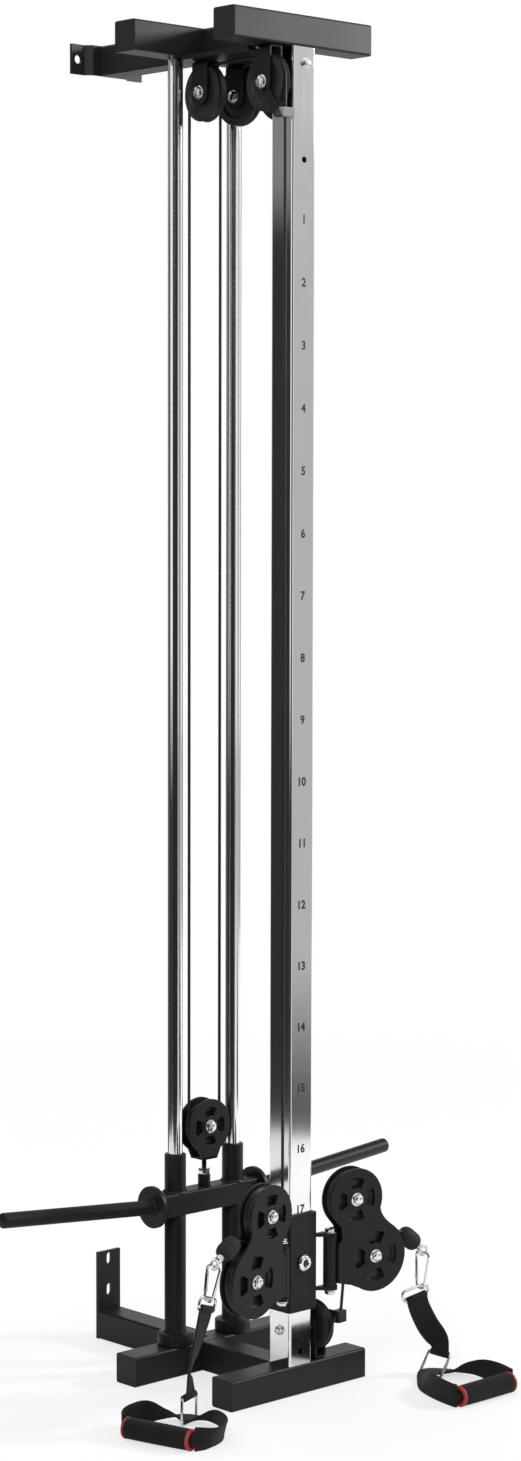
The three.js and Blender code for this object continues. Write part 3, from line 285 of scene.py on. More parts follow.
class Tree:
    def __init__(self, name, owner=None):
        self.owner = owner or bpy.data.materials.new(name)
        self.owner.use_nodes = True
        self.tree = self.owner.node_tree
        self.tree.nodes.clear()

    def node(self, kind, settings, values, out=0):
        # settings are set first, then each input takes a number, a colour or a link
        n = self.tree.nodes.new(kind)
        for key, value in settings.items():
            if key == "stops":
                for element, (place, colour) in zip(n.color_ramp.elements, value):
                    element.position, element.color = place, (*colour, 1)
            else:
                setattr(n, key, value)
        for key, value in values.items():
            if isinstance(value, Sock):
                self.tree.links.new(value.socket, n.inputs[key])
            else:
                n.inputs[key].default_value = value
        return Sock(self, n.outputs[out])

    def maths(self, operation, *values):  # one Math node on values or links
        return self.node("ShaderNodeMath", {"operation": operation}, dict(enumerate(values)))

    def coords(self, which="Object", scale=(1, 1, 1)):  # the piece's own coordinates, stretched by scale
        place = self.node("ShaderNodeTexCoord", {}, {}, which)
        return self.node("ShaderNodeMapping", {}, {"Vector": place, "Scale": scale})

    def noise(self, vector, scale, detail=4.0, rough=0.55):  # clouds, scale of them to the metre
        values = {"Vector": vector, "Scale": scale, "Detail": detail, "Roughness": rough}
        return self.node("ShaderNodeTexNoise", {}, values)

    def cells(self, vector, scale, feature="SMOOTH_F1"):  # distance from the nearest grain
        return self.node("ShaderNodeTexVoronoi", {"feature": feature}, {"Vector": vector, "Scale": scale})

    def part(self, vector, which):  # its x, y or z by number
        return self.node("ShaderNodeSeparateXYZ", {}, {0: vector}, which)

    def mix(self, factor, a, b):  # colour a at factor 0, colour b at 1
        return self.node("ShaderNodeMix", {"data_type": "RGBA"}, {"Factor": factor, 6: a, 7: b}, 2)

    def fade(self, value, low, high):  # 0 below low, 1 above high
        return self.node("ShaderNodeValToRGB", {"stops": [(low, (0, 0, 0)), (high, (1, 1, 1))]}, {0: value})

    def bump(self, height, strength, distance):  # a normal from a height
        return self.node("ShaderNodeBump", {}, {"Height": height, "Strength": strength, "Distance": distance})

    def finish(self, **sockets):  # a Principled shader, a low line in a key standing for a blank
        bsdf = self.tree.nodes.new("ShaderNodeBsdfPrincipled")
        for key, value in sockets.items():
            if isinstance(value, Sock):
                self.tree.links.new(value.socket, bsdf.inputs[key.replace("_", " ")])
            else:
                bsdf.inputs[key.replace("_", " ")].default_value = value
        return self.output(bsdf.outputs[0])

    def output(self, shader, kind="Material"):  # joins the shader to the output and gives the material
        out = self.tree.nodes.new(f"ShaderNodeOutput{kind}")
        self.tree.links.new(shader, out.inputs[0])
        return self.owner


def tone(level, tint=(1, 1, 1)):  # a grey of this level, or a tinted one, as a colour
    return tuple(level * t for t in tint) + (1,)


def powderCoat(name, level, rough, peel=1.0):
    # fine orange peel, broad cloudy gloss and a few paler rubbed specks
    t = Tree(name)
    p = t.coords()
    cloud = t.noise(p, 9.0, 3.0)
    specks = t.fade(t.noise(p, 260.0, 5.0, 0.7), 0.70, 0.80)
    colour = t.mix(cloud, tone(level * 0.85), tone(level * 1.2, (1, 1, 1.02)))
    colour = t.mix(specks * 0.22, colour, tone(level * 2.6))
    return t.finish(Base_Color=colour, Roughness=(rough - 0.06) + cloud * 0.12 + specks * 0.05,
                    Specular_IOR_Level=0.22, Normal=t.bump(t.noise(p, 900.0, 2.0), 0.10 * peel, 0.0004))


def brightMetal(name, level, rough, stretch=(1, 1, 1), streak=0.05, tint=(0.985, 0.99, 1.0)):
    # drawing streaks in the gloss and a faint cloud of handling marks
    t = Tree(name)
    lines = t.noise(t.coords(scale=stretch), 260.0, 4.0, 0.6)
    cloud = t.noise(t.coords(), 14.0, 3.0)
    return t.finish(Base_Color=t.mix(cloud, tone(level * 0.94, tint), tone(level, tint)), Metallic=1.0,
                    Roughness=rough + lines * streak + cloud * 0.03, Normal=t.bump(lines, 0.03, 0.0003))


def mouldedPlastic(name, low, high, rough, grain=700.0, strength=0.12):
    # even pebble grain with soft flow marks between two tones
    t = Tree(name)
    p = t.coords()
    flow = t.noise(p, 22.0, 3.0)
    return t.finish(Base_Color=t.mix(flow, low, high), Specular_IOR_Level=0.32,
                    Roughness=(rough - 0.05) + flow * 0.1, Normal=t.bump(t.cells(p, grain), strength, 0.0003))


def rubberSkin(name, level):
    # matt, dusty and slightly mottled
    t = Tree(name)
    p = t.coords()
    dust = t.noise(p, 60.0, 6.0, 0.7)
    return t.finish(Base_Color=t.mix(t.fade(dust, 0.45, 0.8), tone(level), tone(level * 2.2)),
                    Specular_IOR_Level=0.3, Roughness=0.62 + dust * 0.15,
                    Normal=t.bump(t.noise(p, 1400.0, 2.0), 0.15, 0.0003))


def closedFoam(name, level):
    # small round cells, each a shallow pit, its colour darker towards the pit's bottom as painted shade
    t = Tree(name)
    p = t.coords()
    cells = t.cells(p, 620.0, "F1")
    # painted shade: each cell's colour darkens towards the bottom of its pit
    return t.finish(Base_Color=t.mix(cells, tone(level * 0.6), tone(level * 1.5)),
                    Roughness=0.88 + t.noise(p, 35.0, 3.0) * 0.1, Normal=t.bump(cells, 0.35, 0.0006),
                    Specular_IOR_Level=0.2, Sheen_Weight=0.05, Sheen_Roughness=0.5)


def wovenWeb(name, level, rib=0.0016, twill=0.0042, end=0.0011):
    # ribs across the band that zigzag over its width, on the band's own lengths, with colour darker in the
    # grooves as painted shade and lighter on the ribs as painted highlight
    t = Tree(name)
    uv = t.coords("UV")
    along, across = t.part(uv, 0), t.part(uv, 1)
    zigzag = (across * (2 * math.pi / twill)).wave() * 1.6
    rows = (along * (2 * math.pi / rib) + zigzag).wave()
    weave = rows * 0.35 + (across * (2 * math.pi / end)).wave() * 0.15 + 0.5
    fuzz = t.noise(t.coords(), 1500.0, 3.0)
    # painted shade and highlight: the weave's grooves are darker and its raised ribs lighter
    colour = t.mix(weave, tone(level * 0.4), tone(level * 1.7))
    colour = t.mix(fuzz * 0.3, colour, tone(level * 2.2))
    return t.finish(Base_Color=colour, Roughness=0.80 + fuzz * 0.14, Specular_IOR_Level=0.2,
                    Sheen_Weight=0.05, Sheen_Roughness=0.6,
                    Normal=t.bump(weave * 0.8 + fuzz * 0.2, 0.6, 0.0005))


finishes = {
    "frameCoat": powderCoat("frameCoat", 0.011, 0.42),
    "plateCoat": powderCoat("plateCoat", 0.007, 0.44),
    "tubeCoat": powderCoat("tubeCoat", 0.006, 0.40, 0.7),
    "columnChrome": brightMetal("columnChrome", 0.86, 0.05, (1, 1, 0.02), 0.05),
    "rodChrome": brightMetal("rodChrome", 0.88, 0.04, (1, 1, 0.05), 0.04),
    "boltChrome": brightMetal("boltChrome", 0.80, 0.12, streak=0.12),
    "ringChrome": brightMetal("ringChrome", 0.84, 0.08, streak=0.06),
    "pulleyNylon": mouldedPlastic("pulleyNylon", tone(0.009), tone(0.015), 0.38),
    "guideNylon": mouldedPlastic("guideNylon", tone(0.16), tone(0.22), 0.45),
    "cableCoat": mouldedPlastic("cableCoat", tone(0.008), tone(0.012), 0.36, 1200.0, 0.08),
    "stopRubber": rubberSkin("stopRubber", 0.008),
    "gripFoam": closedFoam("gripFoam", 0.006),
    "webbing": wovenWeb("webbing", 0.006),
    "ringRed": mouldedPlastic("ringRed", (0.24, 0.020, 0.018, 1), (0.33, 0.030, 0.028, 1), 0.45, 800.0, 0.06),
    "ringDark": mouldedPlastic("ringDark", (0.10, 0.006, 0.006, 1), (0.15, 0.010, 0.010, 1), 0.5, 800.0,
                               0.06),
    "printInk": mouldedPlastic("printInk", tone(0.008), tone(0.013), 0.55, 1500.0, 0.05),
    "thread": rubberSkin("thread", 0.022),
}
print("stage: materials")


def tidyMesh(mesh):  # poles merged to one point, faces turned outwards
    bm = bmesh.new()
    bm.from_mesh(mesh)
    bmesh.ops.remove_doubles(bm, verts=bm.verts, dist=1e-6)
    bmesh.ops.recalc_face_normals(bm, faces=bm.faces)
    bm.to_mesh(mesh)
    bm.free()


def addPiece(name, shape, body, finish, replaces=(), sharp=38.0):
    # body is one name, whose empty the piece is parented to, or a (body, body, start, end) entry whose values
    # are not read, when the piece's placement is only baked into its mesh
    points, faces, uv = shape
    mesh = bpy.data.meshes.new(name)
    mesh.from_pydata(points.tolist(), [], faces)
    corner = np.zeros(len(mesh.loops), dtype=np.int32)
    mesh.loops.foreach_get("vertex_index", corner)
    mesh.uv_layers.new(name="UVMap").data.foreach_set("uv", uv[corner].astype(np.float32).ravel())
    mesh.materials.append(finishes[finish])
    tidyMesh(mesh)
    mesh.polygons.foreach_set("use_smooth", np.ones(len(mesh.polygons), dtype=bool))
    mesh.set_sharp_from_angle(angle=math.radians(sharp))
    obj = bpy.data.objects.new(name, mesh)
    bpy.context.collection.objects.link(obj)
    if isinstance(body, str):
        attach(obj, body)
    else:
        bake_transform(obj)
    if replaces:
        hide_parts(*replaces)
    return obj


def level(yaw):  # the unit vector (cos, sin, 0) of a yaw in the floor plan
    return np.array([math.cos(math.radians(yaw)), math.sin(math.radians(yaw)), 0.0])


def acrossOf(along):  # a level vector turned a quarter to its left
    return np.array([-along[1], along[0], 0.0])


def inPlane(origin, along, flat):  # origin + x*along + z*up for each (x, z)
    flat = np.asarray(flat, float)
    return np.asarray(origin, float) + flat[:, :1] * along + flat[:, 1:2] * upZ


def profileOf(rows, height=0.0):  # (radius, height) rows in millimetres, lifted to a height in metres
    return [(radius * mm, height + rise * mm) for radius, rise in rows]


# places that the cables, wheels and arms share
upZ = np.array([0, 0, 1.0])
cableRadius, sunk = 2.5 * mm, 2.7 * mm  # the cable's line lies sunk below a wheel's rim
wheelRadius = {"head": 46 * mm, "lower": 54 * mm, "lift": 37 * mm}
turnRadius = {key: value - sunk for key, value in wheelRadius.items()}
gaps = {"strap": 18 * mm, "arm": 20 * mm, "yoke": 22 * mm}  # between the two plates about a wheel
plateThick = 4 * mm
rodY, headZ, baseZ, liftZ = 0.211, 2.122, 0.104, 0.412  # the rods' distance back, and three axles' heights
hinges = {"left": np.array([-0.054, -0.038, 0]), "right": np.array([0.054, -0.038, 0])}
armYaw = {"left": 187.0, "right": -11.0}
# an arm's lobes: distance out from the hinge, height, the plate's radius and the wheel's radius
lobes = {"upper": (turnRadius["head"], 0.316, 51 * mm, wheelRadius["head"]),
         "lower": (0.081, 0.217, 59 * mm, wheelRadius["lower"])}
leftRear, leftFront = np.array([-turnRadius["lift"], rodY, 0]), hinges["left"]
rightRear, rightFront = np.array([turnRadius["lift"], rodY, 0]), np.array([0.048, 0.030, 0])
baseRear, baseFront = np.array([0.048, 0.040, 0]), hinges["right"]
leftAlong, rightAlong = unit(leftFront - leftRear), unit(rightFront - rightRear)
baseAlong = unit(baseFront - baseRear)
baseTurn = float(np.linalg.norm(baseFront - baseRear)) / 2
baseCentre = (baseFront + baseRear) / 2 + upZ * baseZ
headWheels = {
    "rear_left": (leftRear + leftAlong * turnRadius["head"] + upZ * headZ, leftAlong),
    "front_left": (leftFront - leftAlong * turnRadius["head"] + upZ * headZ, leftAlong),
    "rear_right": (rightRear + rightAlong * turnRadius["head"] + upZ * headZ, rightAlong),
    "middle_right": (rightFront - rightAlong * turnRadius["head"] + upZ * headZ, rightAlong),
}
guideRoute = np.array([(41.5, 0, -0.5), (44.2, 1, 8), (44.6, 5, 13), (44.2, 12, 18), (43.5, 19, 23),
                       (43.1, 23, 28), (43, 24.3, 33)]) * mm
stopRubber = {"radius": 15.5 * mm, "length": 37 * mm, "tip": 9.3 * mm,
              "groove": [(15.5, -1.2), (14.8, -0.6), (14.8, 0.6), (15.5, 1.2)]}
# each handle: the stop's middle out along the arm and up, in metres; the grip's x, y and yaw, the strap's
# x, y, z and the band's x, y, tilt and lift, in millimetres and degrees
handles = {
    "right": {"stop": (0.1574, 0.2338), "lean": 50, "stopGap": 1.1 * mm, "hookYaw": -80, "ringSlide": 13 * mm,
              "wheel": "lower", "turn": -1, "grip": (201.6, -248.3, 0), "ringLean": 35,
              "strap": [(225, -71, 132), (230, -74, 112), (241, -82, 84), (251, -94, 62), (254, -98, 48),
                        (254, -98, 36.6)],
              "strapYaws": [-20, -22, -35, -60, -85, -90],
              "band": [(135.4, -236, 0, 0), (142, -204, 6, 0), (154, -172, 18, 0), (168, -149, 32, 0),
                       (196, -125, 62, 1), (230.5, -98, 90, 5.9), (254, -103, 84, 2.4), (270, -124, 72, 0),
                       (278, -152, 42, 0), (281, -182, 12, 0), (278, -214, 0, 0)]},
    "left": {"stop": (0.1345, 0.279), "lean": 60, "stopGap": 2.1 * mm, "hookYaw": -78, "ringSlide": 0.0,
             "wheel": "upper", "turn": 1, "grip": (-346.7, -70, -75), "ringLean": 0,
             "strap": [(-236, -56, 192), (-246, -56, 162), (-256, -52, 124), (-258, -42, 92), (-250, -30, 70),
                       (-240, -20, 58), (-238, -18, 51), (-238, -18, 44)],
             "strapYaws": [15, 20, 30, 45, 45, 35, 25, 20],
             "band": [(-357, 5, 0, 0), (-342, 18, 0, 0), (-318, 27, 0, 0), (-292, 26, 4, 0), (-266, 8, 52, 1),
                      (-238, -18, 90, 5.4), (-230, -57, 58, 1), (-240, -92, 12, 0), (-263, -128, -14, 1.2),
                      (-300, -145, -24, 2)]},
}


# the cable: one line from handle to handle, in the lengths that the moving bodies divide it into
# a spare moves the end points given with a run's two bodies, which addPiece does not read
cable = {"rings": 90, "endRings": 30, "degreesPerStep": 4, "armSteps": 60, "guideSteps": 30,
         "leavesBase": 340, "liftSpare": 0.1, "armSpare": 0.08}
cableSection = circle(cableRadius, 16)


def wrapOf(centre, along, radius, start, stop):
    # centre + radius*cos(t)*along + radius*sin(t)*up, with t from start to stop in degrees
    steps = int(abs(stop - start) / cable["degreesPerStep"]) + 2
    return inPlane(centre, along, flatArc(radius, start, stop, steps))


def addLiftCable():  # two upright runs, and the half turn under the lift pulley
    lift, spare = turnRadius["lift"], cable["liftSpare"]
    for side, x in (("left", -lift), ("right", lift)):
        top, foot = (x, rodY, headZ), (x, rodY, liftZ)
        stretch = ("frame", "weight_carriage", (x, rodY, headZ + spare), (x, rodY, liftZ - spare))
        addPiece(f"liftRun_{side}", upright(top, foot, cableRadius, cable["rings"]), stretch, "cableCoat",
                 ("cable_lift",))
    under = wrapOf((0, rodY, liftZ), np.array([1.0, 0, 0]), lift, 180, 360)
    addPiece("liftWrap", carried(cableSection, under, (0, 1, 0)), "weight_carriage", "cableCoat")


def addHeadCables():
    # over two head wheels on each side, on the right also down round the base wheel and through its guide
    left, right = (np.concatenate([wrapOf(headWheels[rear][0], along, turnRadius["head"], 180, 90),
                                   wrapOf(headWheels[front][0], along, turnRadius["head"], 90, 0)])
                   for rear, front, along in (("rear_left", "front_left", leftAlong),
                                              ("rear_right", "middle_right", rightAlong)))
    addPiece("headRun_left", carried(cableSection, left, acrossOf(leftAlong)), "frame", "cableCoat",
             ("cable_head_left",))
    guided = baseCentre + guideRoute @ np.array([baseAlong, acrossOf(baseAlong), upZ])
    guided = evenly(curveThrough(guided), cable["guideSteps"])
    down = np.concatenate([right, wrapOf(baseCentre, baseAlong, baseTurn, 180, cable["leavesBase"]), guided])
    addPiece("headRun_right", carried(cableSection, down, acrossOf(rightAlong)), "frame", "cableCoat",
             ("cable_head_right",))
    return guided[-1]


def wrapToStop(handle):
    # round the arm's wheel from its hinge side, then off on the tangent that runs to the rubber stop
    out, height, _, radius = lobes[handle["wheel"]]
    radius -= sunk
    lean = math.radians(handle["lean"])
    away = np.array([math.sin(lean), -math.cos(lean)])
    end = np.array(handle["stop"]) - away * (stopRubber["length"] / 2 + handle["stopGap"])
    reach = math.hypot(end[0] - out, end[1] - height)
    leave = math.atan2(end[1] - height, end[0] - out) - handle["turn"] * math.acos(radius / reach)
    last = math.degrees(leave) + (360 if handle["turn"] > 0 else 0)
    wrap = flatArc(radius, 180, last, cable["armSteps"], (out, height))
    return np.concatenate([wrap, [end + away * handle["stopGap"]]])


def addArmCables(guideEnd):  # the runs up and down the column to the arms' wheels, and the wraps on them
    start, foot = hinges["left"] + upZ * headZ, hinges["left"] + upZ * lobes["upper"][1]
    spare = upZ * cable["armSpare"]
    addPiece("armRun_left", upright(start, foot, cableRadius, cable["rings"]),
             ("frame", "pulley_carriage", tuple(start + spare), tuple(foot - spare)), "cableCoat",
             ("cable_run_left",))
    out, height = lobes["lower"][:2]
    entry = hinges["right"] + level(armYaw["right"]) * (out - turnRadius["lower"]) + upZ * height
    middle = (guideEnd + entry) / 2
    addPiece("armRun_right", upright(guideEnd, middle, cableRadius, cable["rings"]),
             ("frame", "pulley_carriage", tuple(guideEnd), tuple(middle)), "cableCoat", ("cable_run_right",))
    addPiece("armRunEnd_right", upright(middle, entry, cableRadius, cable["endRings"]),
             ("pulley_carriage", "swivel_arm_right", tuple(middle), tuple(entry)), "cableCoat")
    for side, handle in handles.items():
        along = level(armYaw[side])
        path = inPlane(hinges[side], along, wrapToStop(handle))
        addPiece(f"armWrap_{side}", carried(cableSection, path, acrossOf(along)), f"swivel_arm_{side}",
                 "cableCoat", (f"cable_arm_{side}",))


addLiftCable()
addArmCables(addHeadCables())
print("stage: cables")


# grooved wheels: rim has (depth below the rim, half width) rows in millimetres
wheel = {"bore": 5.3 * mm, "hub": 12 * mm, "ease": 0.8 * mm, "web": 4.6 * mm, "step": 1 * mm,
         "play": 0.3 * mm,
         "rim": [(15, 4.6), (13.5, 5.8), (12.5, 7.3), (11.6, 8), (1.3, 8), (0.4, 7.65), (0, 6.9), (0.5, 6.1),
                 (3, 4.2), (4.6, 3.1), (5.6, 1.8), (6, 0)]}


def wheelShape(radius, gap):
    # half of the section from the bore to the groove's floor, mirrored about the middle
    hub, half, ease, web = wheel["hub"], gap / 2 - wheel["play"], wheel["ease"], wheel["web"]
    side = [(wheel["bore"], half), (hub - ease, half), (hub, half - ease), (hub, web + wheel["step"]),
            (hub + wheel["step"], web)]
    side += [(radius - depth * mm, width * mm) for depth, width in wheel["rim"]]
    other = [(r, -width) for r, width in side[-2::-1]]
    return side + other + [side[0]]


def addWheel(name, centre, along, radius, gap, body=None):  # the section turned about its level axle
    addPiece(f"{name}_wheel", revolve(wheelShape(radius, gap), centre, acrossOf(along), 96), body or name,
             "pulleyNylon", (name,), sharp=30)


for key, (centre, along) in headWheels.items():
    addWheel(f"top_pulley_{key}", centre, along, wheelRadius["head"], gaps["strap"])
addWheel("base_pulley", baseCentre, baseAlong, baseTurn + sunk, gaps["strap"])
addWheel("lift_pulley", (0, rodY, liftZ), np.array([1.0, 0, 0]), wheelRadius["lift"], gaps["yoke"],
         "lift_wheel")
for side in ("left", "right"):
    for key, (out, height, _, radius) in lobes.items():
        centre = inPlane(hinges[side], level(armYaw[side]), [(out, height)])[0]
        addWheel(f"arm_pulley_{key}_{side}", centre, level(armYaw[side]), radius, gaps["arm"])
print("stage: wheels")


# bolts through two plates: a domed head on one side, a nut with the thread's end on the other
bolt = {"across": 17 * mm, "head": 6.5 * mm, "nut": 8 * mm, "shank": 5 * mm, "washer": 1.4 * mm,
        "thread": [(0, -1), (4.4, -1), (4.4, 9.4), (3.4, 10.2), (0, 10.2)]}


def boltShape(centre, axis, span, dome=2.2 * mm):
    # the shank runs half the span each way from the centre, the head and nut stand on its ends
    axis, centre = unit(axis), np.array(centre, float)
    face, rear = centre + axis * span / 2, centre - axis * span / 2
    shank = [(0, 0), (bolt["shank"], 0), (bolt["shank"], span), (0, span)]
    return together(revolve(shank, rear, axis, 32),
                    hexHead(bolt["across"], bolt["head"], face, axis, dome, bolt["washer"]),
                    hexHead(bolt["across"], bolt["nut"], rear, -axis, 0, bolt["washer"]),
                    revolve(profileOf(bolt["thread"]), rear, -axis, 32))


# pulley straps: a strip folded over the top, its two legs rounded about the axle
strap = {"width": 39 * mm, "bend": 5 * mm, "edge": 0.6 * mm, "lap": 1 * mm, "clear": 0.3 * mm,
         "frontTop": 2.180, "rearTop": 2.174, "baseFoot": 50 * mm}
strapLeg = (gaps["strap"] + plateThick) / 2
strapFace = gaps["strap"] / 2 + plateThick


def strapShape(rise):
    # each leg is a half circle under two straight sides, and the strip is carried over a rounded fold
    reach, t = strap["width"] / 2, plateThick
    legTop = rise - t / 2 - strap["bend"]
    outline = np.concatenate([[(reach, legTop), (-reach, legTop)], flatArc(reach, 180, 360, 37)])
    legs = [plateShape(outline, t, centre=y) for y in (-strapLeg, strapLeg)]
    foot, top, steps = legTop - strap["lap"], rise - t / 2, 8
    corners = [(-strapLeg, foot), (-strapLeg, top), (strapLeg, top), (strapLeg, foot)]
    fold = rounded(corners, [0, strap["bend"], strap["bend"], 0], steps)[steps - 1:1 - steps]
    strip = roundedBox((-reach, -t / 2), (reach, t / 2), strap["edge"], 3)
    return together(*legs, carried(strip, np.insert(fold, 0, 0.0, axis=1), (1, 0, 0)))


keeper = {"drop": 44 * mm, "width": 22 * mm, "depth": 20 * mm, "height": 15 * mm, "arm": 14 * mm}


def keeperShapes():  # the stay that reaches down to the cable, and the block on its end
    turn, half, arm = turnRadius["head"], keeper["width"] / 2, keeper["arm"] / 2
    drop, low = keeper["drop"], keeper["drop"] + keeper["height"]
    stay = [(0, arm), (-arm, -arm), (turn - half, -low), (turn + half, -low), (turn, -drop)]
    depth = strapFace + keeper["depth"] / 2
    box = roundedBox((turn - half, -low), (turn + half, -drop), 1.5 * mm, 4)
    return (plateShape(rounded(stay, 3 * mm, 5), plateThick, centre=-strapLeg),
            plateShape(box, depth, edge=1 * mm, centre=(keeper["depth"] - depth) / 2))


def addHeadStraps():  # a strap and a bolt for each head wheel, the front one with its stay and block
    for key, (centre, along) in headWheels.items():
        across = acrossOf(along)
        axes = (along, across, upZ, centre)
        shape = strapShape(strap["frontTop" if key == "front_left" else "rearTop"] - strap["clear"] - headZ)
        if key == "front_left":
            stay, block = keeperShapes()
            shape = together(shape, stay)
            addPiece("keeperBlock", moved(block, *axes), "frame", "guideNylon", sharp=20)
        addPiece(f"strap_{key}", moved(shape, *axes), "frame", "plateCoat", (f"top_pulley_{key}_strap",),
                 sharp=20)
        addPiece(f"bolt_{key}", boltShape(centre, -across, 2 * strapFace), "frame", "boltChrome", sharp=28)


# the base pulley's guide: low and high corners of its stay and block, along and up from the axle
guide = {"stay": ((0, 7.5), (50, 27.5)), "block": ((36, 7.5), (51, 27.5)), "thick": 18 * mm,
         "centre": 20 * mm}


def addBaseStrap():  # a head strap turned upside down, with a stay that holds the cable's guide
    across = acrossOf(baseAlong)
    axes = (baseAlong, across, upZ, baseCentre)
    points, faces, uv = strapShape(baseZ - strap["baseFoot"] - strap["clear"])
    stay = plateShape(roundedBox(*guide["stay"], 2, 4) * mm, plateThick, centre=strapLeg)
    shape = together((points * np.array([1, -1, -1.0]), faces, uv), stay)
    addPiece("strap_base", moved(shape, *axes), "frame", "plateCoat", ("base_pulley_strap",), sharp=20)
    block = plateShape(roundedBox(*guide["block"], 1.5, 4) * mm, guide["thick"], edge=1 * mm,
                       centre=guide["centre"])
    addPiece("guideBlock", moved(block, *axes), "frame", "pulleyNylon", sharp=20)
    addPiece("bolt_base", boltShape(baseCentre, -across, 2 * strapFace), "frame", "boltChrome", sharp=28)


addHeadStraps()
addBaseStrap()
print("stage: straps and bolts")


# guide rods, and stop tubes whose collar rows stand on the foot and whose mouth rows hang from the top
rods = {"x": 65 * mm, "radius": 12.5 * mm, "foot": 30.3 * mm, "top": 2199.7 * mm}
stopTube = {"bore": 12.8 * mm, "foot": 50.3 * mm, "top": 269.7 * mm,
            "collar": [(29.2, 0), (30, 0.8), (30, 17.5), (29.3, 19.2), (27.6, 20), (22, 20.3), (19.4, 21.6),
                       (18, 24.5)],
            "mouth": [(18, -1), (17.6, -0.3), (17, 0)]}


def addRods():  # a rod is a plain cylinder, and a tube is its collar and mouth turned about it
    bore, foot, top = stopTube["bore"], stopTube["foot"], stopTube["top"]
    rod = [(0, rods["foot"]), (rods["radius"], rods["foot"]), (rods["radius"], rods["top"]), (0, rods["top"])]
    tube = [(bore, foot), *profileOf(stopTube["collar"], foot), *profileOf(stopTube["mouth"], top),
            (bore, top), (bore, foot)]
    for side, x in (("left", -rods["x"]), ("right", rods["x"])):
        at = (x, rodY, 0)
        addPiece(f"rod_{side}", revolve(rod, at, sides=80), "frame", "rodChrome", (f"guide_rod_{side}",))
        addPiece(f"stopTube_{side}", revolve(tube, at, sides=72), "frame", "tubeCoat", (f"stop_tube_{side}",),
                 sharp=30)


addRods()

# the plate carriage: a square beam with sleeves, flanges and two tilted posts
beam = {"foot": 270 * mm, "side": 39 * mm, "half": 111 * mm, "corner": 4 * mm, "flange": 35 * mm,
        "flangeThick": 8 * mm, "flangeEase": 0.9 * mm, "postReach": 434 * mm, "tilt": 5.0,
        "sleeve": [(13, 0), (17.4, 0), (18, 0.6), (18, 101.8), (16.8, 103), (13.5, 103), (13, 102.5),
                   (13, 0)],
        "weld": [(17, 38), (21.2, 38.6), (20.4, 40.6), (18.8, 42), (17, 42.6), (17, 38)],
        "postFoot": [(0, 0.4), (15.5, 0.4), (13.7, 2.6), (12.5, 4.6)],
        "postTip": [(12.5, -4), (12, -2.2), (10.9, -0.8), (9.3, 0), (0, 0)]}


def addCarriage():  # the square section carried along x, then the turned profiles about their own axes
    half, long, thick = beam["side"] / 2, beam["half"], beam["flangeThick"]
    mid = np.array([0, rodY, beam["foot"] + half])
    x = np.linspace(-long, long, 3)[:, None] * np.array([[1.0, 0, 0]])
    parts = [carried(roundedBox((-half, -half), (half, half), beam["corner"], 6), mid + x, (0, 1, 0))]
    for side in (-1, 1):
        disc = barProfile(beam["flange"], thick, beam["flangeEase"])
        parts.append(revolve(disc, mid + np.array([side * long, 0, 0]), (side, 0, 0), 80))
        parts += [revolve(profileOf(beam[key]), (side * rods["x"], rodY, beam["foot"]), sides=64)
                  for key in ("sleeve", "weld")]
    addPiece("carriageBeam", together(*parts), "weight_carriage", "plateCoat", ("carriage_beam",), sharp=30)
    tilt, face = math.radians(beam["tilt"]), long + thick
    reach = (beam["postReach"] - face) / math.cos(tilt)
    post = profileOf(beam["postFoot"]) + profileOf(beam["postTip"], reach)
    for name, side in (("left", -1), ("right", 1)):
        axis, foot = (side * math.cos(tilt), 0, math.sin(tilt)), mid + np.array([side * face, 0, 0])
        addPiece(f"post_{name}", revolve(post, foot, axis, 64), "weight_carriage", "plateCoat",
                 (f"plate_post_{name}",), sharp=40)


# windows in the plates: half angle in degrees, and shares of the plate's radius
window = {"half": 26, "inner": 0.37, "outer": 0.70, "corner": 3.2 * mm}


def windowsOf(radius, centre):
    # a rounded oblong of (arc length, radius), bent round the axle, four times
    low, high = radius * window["inner"], radius * window["outer"]
    mean = (low + high) / 2
    reach = mean * math.radians(window["half"])
    flat = roundedBox((-reach, low), (reach, high), window["corner"], 6)
    u, r = evenly(np.concatenate([flat, flat[:1]]), 53)[:-1].T
    turns = [u / mean + math.radians(middle) for middle in (0, 90, 180, 270)]
    return [np.stack([centre[0] + r * np.cos(t), centre[1] + r * np.sin(t)], -1) for t in turns]


# the stem on the beam, and the yoke whose two plates narrow to a floor
stem = {"foot": [(0, 309.3), (10.5, 309.3), (10.5, 327.8), (9.3, 329.3), (4.2, 329.3), (4.2, 339)],
        "tip": [(4.2, 355.7), (0, 355.7)], "threadFoot": 340, "ridges": 22, "pitch": 0.7, "crest": 4.2,
        "root": 3.6, "nut": (17 * mm, 10 * mm), "nutFoot": 329.3 * mm}
yoke = {"radius": 46 * mm, "drop": 56 * mm, "footHalf": 16.5 * mm, "floorHalf": 15 * mm}


